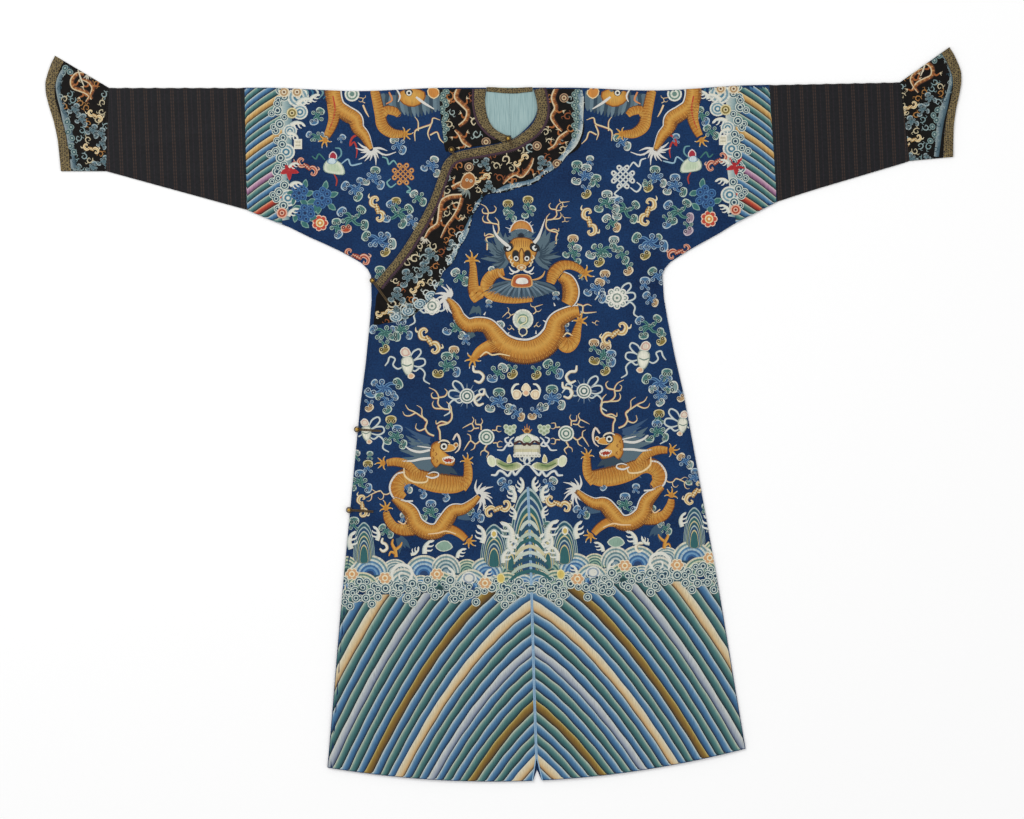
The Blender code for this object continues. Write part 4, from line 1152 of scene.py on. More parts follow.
        stroke(work, [(middle + side * 6, 271.5, 1.4), (middle + side * 9.5, 274, 1.2),
            (middle + side * 12.5, 273, 0.5)], "ebe9e0", 15, 3)
        stroke(work, [(middle + side * 10, 280, 1.0), (middle + side * 16, 279, 1.8), (middle + side * 21, 276, 1.8),
            (middle + side * 23.5, 271, 0.6)], "d9a868", 13, 3)
    disc(work, 521.5, 267.5, [(5.0, "e0cca2"), (3.8, "c98c4c"), (2.0, "e8d8b4")], 15, 0.62)
    patch(work, [(511, 285.5), (512.5, 278), (516.5, 274.5), (527.5, 274.5), (531.5, 278), (532.5, 285.5),
        (527, 287.5), (516, 287.5)], "b8642e", 12, rim="e0b070")
    patch(work, [(514.5, 283.5), (516, 278.5), (522, 277), (528, 278.5), (529.5, 283.5), (522, 285)], "eeece2", 15,
        rim="a8492a")


    # pearl
    disc(work, 523, 319.5, [(10.4, "e6e6d8"), (8.6, "c9d2c2"), (5.6, "7f9c86"), (2.6, "cdd6c6")], 3, sides=20)
    stroke(work, [(517, 323, 1.0), (520, 317, 1.4), (526, 317, 1.4), (526, 322, 1.2), (521, 325, 1.2),
        (518, 330, 0.8)], "e9e2b8", 8)
    disc(work, 523, 331.5, [(4.6, "e9dfb6"), (3.5, "16305a")], 7, sides=14)
    flames(work, 514, 314, -70, 0.55, -1, "short")
    flames(work, 533, 314, 10, 0.62, 1, "short")
    flames(work, 514, 330, -80, 0.5, 1, "tiny")
    flames(work, 534, 327, 80, 0.5, -1, "tiny")
    flames(work, 487, 250, 8, 0.80, 1, "tall")
    flames(work, 556, 244, -6, 0.74, -1, "tall")
    flames(work, 560, 208, 20, 0.52, 1, "short")
    flames(work, 562, 222, 30, 0.45, 1, "short")
    flames(work, 577, 304, 148, 0.95, -1, "short")
    flames(work, 592, 322, 80, 0.5, 1, "tiny")


def side_dragon(work, turned):
    """The dragon of the wearer's right skirt, or its mirror on the left."""
    def at(rows):
        return mirrored(rows) if turned else rows

    def body(rows, level, spine=True, scales=True):
        rows = at(rows)
        dragon_body(work, rows[::-1] if turned else rows, level, spine, scales)

    def paw(u, v, turn, level):
        u, v = at([(u, v)])[0]
        claw(work, u, v, (180 - turn) if turned else turn, 0.85, level=level)

    def locks(u, v, first, last, count, inner, outer, colour, level, width, bend):
        u, v = at([(u, v)])[0]
        if turned:
            first, last, bend = 180 - first, 180 - last, -bend
        fan(work, u, v, first, last, count, inner, outer, colour, level, width, bend)

    side = -1 if turned else 1
    locks(434, 452, 150, 215, 8, 0, 34, MANE, 1, 7.0, 0.08)
    locks(436, 460, 128, 180, 7, 0, 36, MANE, 1, 7.5, 0.06)
    locks(440, 466, 20, 150, 7, 0, 20, MANE_DARK, 1, 7.0, 0.10)
    locks(432, 440, 160, 200, 4, 2, 30, "36567a", 1, 4.0, 0.1)
    body([(466, 482, 6), (455, 484, 9), (440, 483, 10), (426, 480, 9.5), (414, 476, 8), (404, 477, 8),
        (397, 484, 7.6), (398, 493, 7), (404, 498, 4)][::-1], 3, False)
    stroke(work, at([(405, 472, 1.5), (397, 474, 1.8), (391, 482, 1.9), (390, 490, 1.9), (394, 498, 1.8),
        (403, 501, 1.8), (413, 501, 1.6)]), SPINE, 9)
    body([(394, 499, 2.5), (403, 505, 5.5), (411, 512, 7.5), (416, 524, 8.6), (427, 531, 8.4), (438, 530, 8),
        (446, 520, 8), (453, 511, 7.2), (463, 509, 5.6), (471, 504, 4.4), (479, 496, 2.6)][::-1], 4)
    body([(461, 487, 6.5), (467, 480, 5), (468, 470, 4.4), (467, 463, 3.6)], 5, False)
    body([(417, 474, 4.5), (407, 465, 4.6), (396, 462, 4.4), (387, 463, 3.4)], 5, False)
    body([(414, 529, 6.5), (403, 530, 6), (394, 527, 5), (388, 519, 4.4), (386, 512, 3.2)], 3, False)
    body([(438, 530, 5.5), (450, 529, 4.8), (459, 533, 4.2), (466, 539, 3.4)], 7, False, False)
    stroke(work, at([(428, 534, 0.9), (438, 533, 1.4), (446, 531, 1.4), (456, 534, 0.9)]), "f0cfa2", 13)
    stroke(work, at([(404, 468, 1.0), (405, 476, 1.8), (414, 482, 1.8), (426, 482, 1.6), (428, 477, 1.0)]), "f2d7a4",
        12)
    stroke(work, at([(426, 476, 1.2), (432, 478, 1.8), (438, 476, 1.6), (438, 473, 1.2), (433, 472, 1.2),
        (428, 474, 0.8)]), SPINE, 13)
    stroke(work, at([(398, 521, 1.2), (404, 524, 1.4), (408, 518, 1.0)]), "f0cfa2", 9)
    paw(467, 461, -80, 6)
    paw(383, 463, 180, 6)
    paw(386, 508, -100, 5)
    paw(469, 541, 45, 8)
    locks(479, 496, -115, 100, 11, 2, 17, SPINE, 3, 2.4, 0.3)
    locks(456, 516, -8, 12, 4, 2, 18, "3f5d78", 1, 5.0, 0.0)
    locks(398, 536, 40, 80, 4, 2, 18, "35556f", 1, 5.5, 0.1)
    # head seen from the side
    patch(work, at([(430, 452), (432, 444), (438, 441), (442, 445), (444, 451), (450, 456), (455, 460), (453, 466),
        (444, 465), (440, 464), (436, 468), (431, 462)]), GOLD, 9,
          rim="8a4f18", heart=GOLD_LIGHT)
    patch(work, at([(441, 446), (449, 444), (456, 446), (455, 450), (447, 452), (442, 450)]), "d79a45", 11,
        rim="e9d3a6")
    patch(work, at([(442, 458), (450, 456), (455, 459), (452, 463), (444, 462)]), "a83a22", 12, rim="f1ead8")
    stroke(work, at([(444, 459, 1.2), (448, 457.5, 1.6), (453, 459, 1.2)]), "f4f0e2", 15)
    for u, v, rings, level in ((444, 446.5, [(4.4, "20262e"), (3.3, "eceade"), (1.7, "12161c")], 14),
        (456, 445, [(2.5, "f0e2c0"), (1.7, "b9742c")], 14)):
        eye_u, eye_v = at([(u, v)])[0]
        disc(work, eye_u, eye_v, rings, level, sides=12)
    for u, v, drop in ((445, 457.2, 2.4), (447.5, 456.4, 2.6), (450, 456.0, 2.6), (452.5, 456.6, 2.4),
        (446, 463.6, -2.0), (449, 463.4, -2.2), (452, 462.4, -2.2)):
        stroke(work, at([(u, v, 1.3), (u, v + drop, 0.4)]), "f6f3e8", 16, 1)
    stroke(work, at([(438, 443, 1.0), (442, 440.5, 1.8), (447, 441, 1.8), (450, 443.5, 1.0)]), "e9dcc0", 16)
    for u, v in ((434, 450), (437, 454), (434, 458), (438, 461)):
        stroke(work, at([(u - 1.6, v - 1.6, 0.7), (u, v, 1.1), (u - 1.6, v + 1.6, 0.7)]), "9a5c22", 14, 2)
    stroke(work, at([(453, 440, 1.6), (457, 434, 2.2), (460, 441, 2.2), (459, 449, 1.6), (455, 453, 0.8)]), "e6d7c6",
        13)
    stroke(work, at([(430, 450, 2.2), (420, 452, 2.6), (411, 450, 2.2), (405, 446, 1.0)]), SPINE, 10)
    stroke(work, at([(431, 458, 2.2), (421, 459, 2.6), (412, 461, 2.0), (402, 461, 1.0)]), SPINE, 10)
    stroke(work, at([(431, 448, 1.2), (424, 447, 1.4), (417, 446, 0.6)]), SPINE, 11)
    root = at([(440, 440)])[0]
    flames(work, root[0], root[1], 4 * side, 0.92, side, "tall")
    root = at([(434, 436)])[0]
    flames(work, root[0], root[1], -2 * side, 0.95, side, "bush")
    root = at([(391, 492)])[0]
    flames(work, root[0], root[1], -60 * side, 0.62, side, "bush")
    pearl_u, pearl_v = at([(486.5, 437)])[0]
    disc(work, pearl_u, pearl_v, [(8.0, "e4e6da"), (6.4, "5f8076"), (5.0, "dfe2d4"), (3.4, "5f8076"),
        (1.9, "e6e6da")], 4, sides=18)
    for u, v, turn, size, flip, kind in ((481, 430, -35, 0.85, 1, "tiny"), (480, 441, -85, 0.85, -1, "short"),
        (487, 445, 175, 0.9, 1, "tiny"), (493, 443, 120, 0.7, -1, "tiny"),
                                         (492, 430, 60, 0.7, 1, "tiny"), (479, 428, -55, 0.75, -1, "short")):
        u, v = at([(u, v)])[0]
        flames(work, u, v, turn * side, size, flip * side, kind)


def shoulder_dragon(work, turned):
    """The part of a shoulder dragon that comes over the fold."""
    def at(rows):
        return [(TURNED_U - row[0], row[1], *row[2:]) for row in rows] if turned else rows

    def body(rows, level, spine=True):
        rows = at(rows)
        dragon_body(work, rows[::-1] if turned else rows, level, spine)

    body([(333, 87, 8.5), (334, 98, 8.5), (338, 107, 8), (346, 113, 8), (355, 119, 8), (358, 128, 6.5),
        (364, 135, 5.5), (368, 143, 4), (371, 149, 2.5)][::-1], 3)
    body([(334, 104, 7), (334, 118, 5.6), (331, 128, 4.6), (327, 136, 3.6)], 5, False)
    body([(374, 87, 4.5), (377, 100, 5), (380, 114, 5.4), (383, 126, 6), (392, 133, 5), (403, 134, 3.6)], 4, False)
    body([(381, 116, 5), (386, 110, 4.5), (394, 111, 4.5), (399, 115, 3)], 3, False)
    u, v = at([(325, 140)])[0]
    claw(work, u, v, 60 if turned else 120, 0.85, level=6)
    u, v = at([(405, 134)])[0]
    claw(work, u, v, 180 if turned else 0, 0.85, level=6)
    u, v = at([(371, 149)])[0]
    fan(work, u, v, *((185, -15) if turned else (-5, 195)), 10, 2, 17, SPINE, 4, 2.3, -0.2 if turned else 0.2)
    stroke(work, at([(376, 151, 1.6), (386, 155, 1.6), (396, 152, 0.7)]), SPINE, 4)
    stroke(work, at([(333, 96, 1.8), (335, 108, 1.8), (333, 120, 1.4), (329, 130, 0.8)]), "c0402a", 11)
    u, v = at([(395, 92)])[0]
    for index in range(16):
        angle = -14 + index * 4.0
        start = at([(384 + index * 3.6, 90 + 6 * math.sin(index * 0.7), 6.0), (383 + index * 3.7, 104, 6.5),
            (388 + index * 3.4, 118 - abs(index - 8), 1.0)])
        stroke(work, start, (MANE, MANE_DARK, "6b838f")[index % 3], 1, 3)
    patch(work, at([(404, 88), (414, 88), (425, 92), (424, 101), (414, 107), (403, 104), (398, 96)]), GOLD, 6,
        rim="8a4f18", heart=GOLD_LIGHT)
    patch(work, at([(428, 88), (437, 88), (440, 94), (434, 99), (428, 95)]), "d28a3c", 6, rim="f0d8a8")
    u, v = at([(409, 93)])[0]
    disc(work, u, v, [(4.2, "232b33"), (2.8, "eceade"), (1.4, "1a222c")], 9)
    stroke(work, at([(416, 97, 2.4), (424, 103, 2.6), (434, 109, 1.0)]), SPINE, 9)
    stroke(work, at([(396, 88, 1.2), (400, 96, 1.8), (398, 102, 0.8)]), SPINE, 9)
    stroke(work, at([(389, 92, 1.6), (392, 100, 2.0), (386, 104, 1.0)]), "d98f5a", 8)
    root = at([(352, 94)])[0]
    disc(work, root[0], root[1], [(7.5, "e6e6da"), (5.8, "6f8f84"), (4.2, "dfe2d4"), (2.4, "6f8f84")], 3, sides=16)
    root = at([(365, 103)])[0]
    flames(work, root[0], root[1], 20 if turned else -20, 0.45, 1 if turned else -1, "short")
    stroke(work, at([(363, 105, 1.8), (366, 112, 1.6), (369, 117, 0.6)]), "f0d0a0", 2)
    for path in ([(415, 141, 1.0), (415, 131, 2.2), (423, 127, 2.2), (431, 124, 2.2), (433, 118, 1.8),
        (440, 120, 0.8)],
                 [(418, 131, 2.0), (418, 122, 1.6), (415, 117, 0.7)],
                 [(431, 125, 2.0), (428, 133, 2.0), (430, 140, 0.8)],
                 [(430, 135, 2.0), (437, 132, 2.0), (440, 139, 1.8), (445, 144, 0.8)]):
        flame(work, at(path), 2)
    stroke(work, at([(359, 134, 1.6), (352, 138, 2.2), (350, 146, 1.4), (354, 142, 1.8), (357, 150, 1.6),
        (356, 158, 0.6)]), "b8362c", 2)


def ribboned(work, u, v, flip, loops=True):
    """Two loops and a fluttering tail of ribbon, tied to a treasure."""
    at = spot(u, v, 0, 1.0, flip)
    if loops:
        ribbon_tail(work, at((2, -4), (6, -12), (12, -15), (14, -11), (9, -5), (3, -2)))
        ribbon_tail(work, at((3, -1), (10, -5), (17, -5), (18, 0), (12, 3), (4, 1)))
    ribbon_tail(work, at((2, 4), (8, 7), (13, 4), (18, 9), (17, 16), (23, 20)))
    ribbon_tail(work, at((-3, 2), (-9, 5), (-14, 1), (-12, -5), (-17, -7), (-19, -2), (-22, 2)))


def treasure(work, u, v, kind, turn=0, size=1.0, flip=1):
    """Traditional lucky things: vase, rosette, drum, umbrella, knot, peach, scroll and seal."""
    at = spot(u, v, turn, size, flip)
    if kind == "vase":
        ribboned(work, u, v, flip)
        patch(work, at((-6, -4), (-2, -8), (4, -8), (7, -2), (6, 6), (3, 11), (-1, 11), (-5, 4)), "dfe0cf", 5,
            rim="8f9f96", heart="f0eedd")
        patch(work, at((-7, -13), (-3, -17), (2, -15), (4, -9), (-1, -7), (-5, -8)), "c9877a", 6, rim="e9e6d8",
            heart="e9dcc8")
        stroke(work, at((-5, 0, 1.0), (0, 2, 1.4), (5, 0, 1.0)), "7f9489", 9)
        patch(work, at((1, 10), (5, 9), (8, 12), (5, 15), (1, 14)), "e0b58e", 6, rim="f0e4cf")
    elif kind == "rosette":
        ribboned(work, u, v, flip)
        for index in range(8):
            angle = index * 45
            x, y = 8.0 * math.cos(math.radians(angle)), 8.0 * math.sin(math.radians(angle))
            px, py = at((x, y))[0]
            disc(work, px, py, [(3.6, "e9e8de"), (2.2, "8fa096"), (1.0, "e9e8de")], 3, sides=9)
        disc(work, *at((0, 0))[0], [(7.2, "eeece0"), (4.8, "7d9187"), (3.4, "e6e5d8"), (1.4, "7d9187")], 6, sides=16)
    elif kind == "drum":
        ribboned(work, u, v, flip)
        for index in range(12):
            angle = math.radians(index * 30)
            stroke(work, at((6 * math.cos(angle), 6 * math.sin(angle), 1.2),
                (12.5 * math.cos(angle), 12.5 * math.sin(angle), 0.4)), "7f95a8", 2, 2)
        disc(work, *at((0, 0))[0], [(7.6, "e6e6dc"), (6.2, "5f7b78"), (5.0, "e6e6dc"), (3.6, "52706e"),
            (2.0, "ecebe0")], 6, sides=18)
    elif kind == "umbrella":
        patch(work, at((-10, -1), (-7, -7), (0, -9), (8, -5), (12, 3), (10, 7), (0, 6), (-8, 4)), "e7ead6", 5,
            rim="9fb3a2", heart="c5d6b8")
        patch(work, at((-3, -8), (-4, -13), (0, -17), (4, -13), (3, -8)), "a8263a", 6, rim="e8d8d8")
        patch(work, at((-6, -5), (-4, -10), (1, -11), (4, -6), (0, -3)), "cfe0e6", 7, rim="6f94b0")
        ribbon_tail(work, at((3, -8), (8, -13), (7, -19), (2, -20)), "6fa0a8", "3f6f78")
        ribbon_tail(work, at((8, -4), (15, -9), (18, -3), (25, -4), (29, -5)), "9fc0d0", "4f7f9f")
        ribbon_tail(work, at((-8, -8), (-14, -14), (-17, -9), (-21, -12)), "3f7a74", "285a58")
        ribbon_tail(work, at((1, 6), (4, 12), (3, 18)), "b03a2c", "7a2420")
    elif kind == "knot":
        tones = ("e7e6dc", "a9b8c0") if flip > 0 else ("dba060", "8a4c22")
        profile = [(-1, 0, tones[1]), (-0.45, 0.2, tones[1]), (-0.45, 0.2, tones[0]), (0.45, 0.2, tones[0]),
            (0.45, 0.2, tones[1]), (1, 0, tones[1])]
        for index in (-1.5, -0.5, 0.5, 1.5):
            shift = index * 3.7
            rising = [((along + shift) * 0.707, (along - shift) * 0.707, 1.7) for along in (-8.5, 0, 8.5)]
            falling = [((shift + along) * 0.707, (shift - along) * 0.707, 1.7) for along in (-8.5, 0, 8.5)]
            stroke(work, at(*rising), profile, 4 + (index > 0), 3)
            stroke(work, at(*falling), profile, 6 - (index > 0), 3)
        for near, far in ((3.7, 9.0), (-3.7, 9.0), (3.7, -9.0), (-3.7, -9.0), (9.0, 3.7), (9.0, -3.7), (-9.0, 3.7),
            (-9.0, -3.7)):
            disc(work, *at(((near + far) * 0.707, (near - far) * 0.707))[0],
                [(2.9, tones[1]), (2.4, tones[0]), (1.1, "16305a")], 3, sides=9)
        loop = ("dfe3dd", "9fb3bf") if flip > 0 else ("7fb0b0", "3f7a80")
        ribbon_tail(work, at((6, -9), (10, -14), (15, -10), (17, -16), (22, -18)), *loop)
        ribbon_tail(work, at((-3, 11), (-8, 16), (-4, 19), (-12, 20), (-14, 25)), *loop)
        ribbon_tail(work, at((7, 10), (13, 14), (17, 9), (13, 5)), *loop)
    elif kind == "peach":
        patch(work, at((-6, 5), (-7, -2), (-2, -7), (4, -6), (7, 0), (5, 6), (-1, 8)), "d8603c", 5, rim="f0d8c0",
            heart="e98f52")
        patch(work, at((3, -6), (9, -9), (11, -4), (6, -2)), "4f8a72", 6, rim="bcd0c0")
    elif kind == "flower":
        for index in range(7):
            angle = math.radians(index * 360 / 7)
            disc(work, *at((5.6 * math.cos(angle), 5.6 * math.sin(angle)))[0], [(3.4, "f0cdb8"), (2.4, "c94a34")], 4,
                sides=8)
        disc(work, *at((0, 0))[0], [(4.4, "f2dca8"), (3.0, "d9903a"), (1.4, "f6ecc8")], 8, sides=12)
    elif kind == "peony":
        for index, (x, y, part) in enumerate(((0, 0, 6), (-6, -4, 4.5), (6, -5, 4.5), (7, 4, 4.2), (-5, 6, 4.6),
            (1, -9, 4.0), (0, 8, 4.0))):
            disc(work, *at((x, y))[0], [(part, "4f80b0"), (part * 0.82, "1d4a80"), (part * 0.5, "3f74a6"),
                (part * 0.3, "0f2c58")], 3 + index % 3, sides=10)
        for x, y, turn_leaf in ((-12, 4, 160), (-4, 13, 100), (11, 10, 40), (13, -4, -20), (4, -14, -80)):
            leaf = spot(*at((x, y))[0], turn_leaf, 1.0)
            patch(work, leaf((-5, 0), (0, -3.2), (6, 0), (0, 3.2)), "35706e", 2, rim="7fa79c")
    elif kind == "star":
        for index in range(5):
            angle = index * 72 + 15
            leaf = spot(*at((0, 0))[0], angle, 1.0)
            patch(work, leaf((0, -2.6), (6, -2.2), (10.5, 0), (6, 2.2), (0, 2.6)), "b02028", 4 + index % 2,
                rim="c8383a")
    elif kind == "seal":
        patch(work, at((-4, -5), (4, -5), (4, 5), (-4, 5)), "e8e2cc", 4, rim="f2efe0", steps=1)
        stroke(work, at((-2.4, -2, 1.0), (2.4, -2, 1.0)), "8f8a6a", 7, 1)
        stroke(work, at((-2.4, 1.2, 1.0), (2.4, 1.2, 1.0)), "8f8a6a", 7, 1)
    elif kind == "curl":
        ribbon_tail(work, at((-5, -9), (-4, -3), (2, -2), (6, 3), (2, 9), (-4, 7)), "efe9d6", "b9a98a", 2, 3.0)
    elif kind == "coral":
        for path in (((0, 9, 3.6), (-1, 2, 3.4), (-4, -4, 2.8), (-3, -9, 1.4)),
            ((-1, 2, 3.0), (4, -2, 2.6), (6, -6, 1.2)), ((0, 6, 3.0), (-5, 4, 2.4), (-7, 8, 1.2))):
            stroke(work, at(*path), [(-1, 0, "a86a1e"), (-0.5, 0.2, "a86a1e"), (-0.5, 0.2, "d99a3c"),
                (1, 0.1, "e0a850")], 3, 3)


def canopy(work):
    """Umbrella canopy over two fish, with knots and ribbons, in the middle of the skirt."""
    u, v = 527, 440
    at = spot(u, v)
    for x, y in ((-5, -11), (-2.5, -14), (0, -16), (2.5, -14), (5, -11)):
        stroke(work, at((x * 0.5, -8, 1.6), (x, y, 0.5)), "c98a4a", 2, 2)
    disc(work, *at((0, -9))[0], [(3.4, "d9a25c"), (2.2, "7a4a20")], 4, 0.8)
    patch(work, at((-13, 2), (-10, -3), (-4, -6), (0, -7), (4, -6), (10, -3), (13, 2), (6, 3), (-6, 3)), "e5e6da", 5,
        rim="aab5a5", heart="f0eee0")
    patch(work, at((-5, 0), (0, -5), (5, 0), (0, 3)), "c9dcb0", 8, rim="8fa889")
    stroke(work, at((-13, 4, 2.4), (-7, 1, 2.0), (-3, 5, 2.2), (0, 3, 2.2), (3, 5, 2.2), (7, 1, 2.0), (13, 4, 2.4)),
        "4a2a28", 9)
    stroke(work, at((-12, 0, 1.2), (-9, -3, 1.6), (-6, 0, 1.2), (-8, 2, 0.8)), "e9e9de", 9)
    stroke(work, at((12, 0, 1.2), (9, -3, 1.6), (6, 0, 1.2), (8, 2, 0.8)), "e9e9de", 9)
    for low, high, colour in ((5, 9, "dcd9c2"), (9, 12, "cfc9a4"), (12, 15, "e9e7da")):
        patch(work, at((-13, low), (0, low - 0.6), (13, low), (13.4, high), (0, high + 0.8), (-13.4, high)), colour,
            4, rim="b5b29a", steps=1)
    for index in range(9):
        disc(work, *at((-12 + index * 3, 15.5))[0], [(2.0, "e9e7da"), (1.0, "b9b9a8")], 6, sides=8)
    for side in (-1, 1):
        twist = spot(u, v, 0, 1.0, side)
        for x, y in ((17, -12), (14, -9), (20, -9), (17, -7), (13, -13), (21, -13)):
            disc(work, *twist((x, y))[0], [(2.8, "cdd8c0"), (1.6, "9fb08f")], 3, sides=8)
        ribbon_tail(work, twist((13, -3), (17, 1), (14, 5), (19, 6), (17, 2), (21, 6), (24, 10), (30, 10)), "e5e6e0",
            "a4b3c0")
        ribbon_tail(work, twist((15, 2), (20, 3), (22, -1), (18, -3)), "e5e6e0", "a4b3c0")
        ribbon_tail(work, twist((8, 16), (6, 20), (2, 22)), "cfd2c6", "98a6a8", 3, 1.6)
        # fish
        patch(work, twist((4, 26), (10, 22), (18, 24), (25, 21), (31, 18), (34, 22), (28, 27), (20, 31), (10, 30)),
            "c9cba0", 4, rim="e9e9d6", heart="8fa06a")
        patch(work, twist((31, 19), (36, 15), (40, 18), (39, 24), (35, 27), (31, 25)), "dfe3c0", 6, rim="eeeedd")
        patch(work, twist((15, 22), (17, 14), (20, 18), (20, 23)), "d8c98f", 3, rim="efe8c8")
        stroke(work, twist((14, 25, 1.2), (22, 26, 1.4), (29, 23, 1.0)), "5f7a4a", 8)
        ribbon_tail(work, twist((3, 24), (1, 18), (-3, 18), (-2, 23), (4, 26)), "dfe2dc", "9fb0b8", 5)
        ribbon_tail(work, twist((3, 26), (8, 31), (12, 35), (15, 31), (19, 36), (24, 32), (28, 31), (31, 35),
            (36, 35)), "e4e6e0", "9aabb8", 3, 2.6)


def centre_bat(work):
    at = spot(526, 391)
    for side in (-1, 1):
        twist = spot(526, 391, 0, 1.0, side)
        stroke(work, twist((13, 5, 1.4), (14, -1, 2.2), (11, -6, 2.2), (7, -7, 1.2)), "e9ead9", 2)
        patch(work, twist((4, 3), (7, -1), (12, -1), (14, 3), (12, 8), (7, 8)), "d9b78f", 3, rim="f4ecd2",
            heart="efe0c0")
    patch(work, at((-5, -1), (-3, -6), (0, -8), (3, -6), (5, -1), (0, 1)), "e3c39a", 4, rim="f4ecd2", heart="f4e6c4")
    patch(work, at((-4, 2), (0, -2), (4, 2), (0, 5.5)), "eabf9a", 6, rim="f4ecd2")


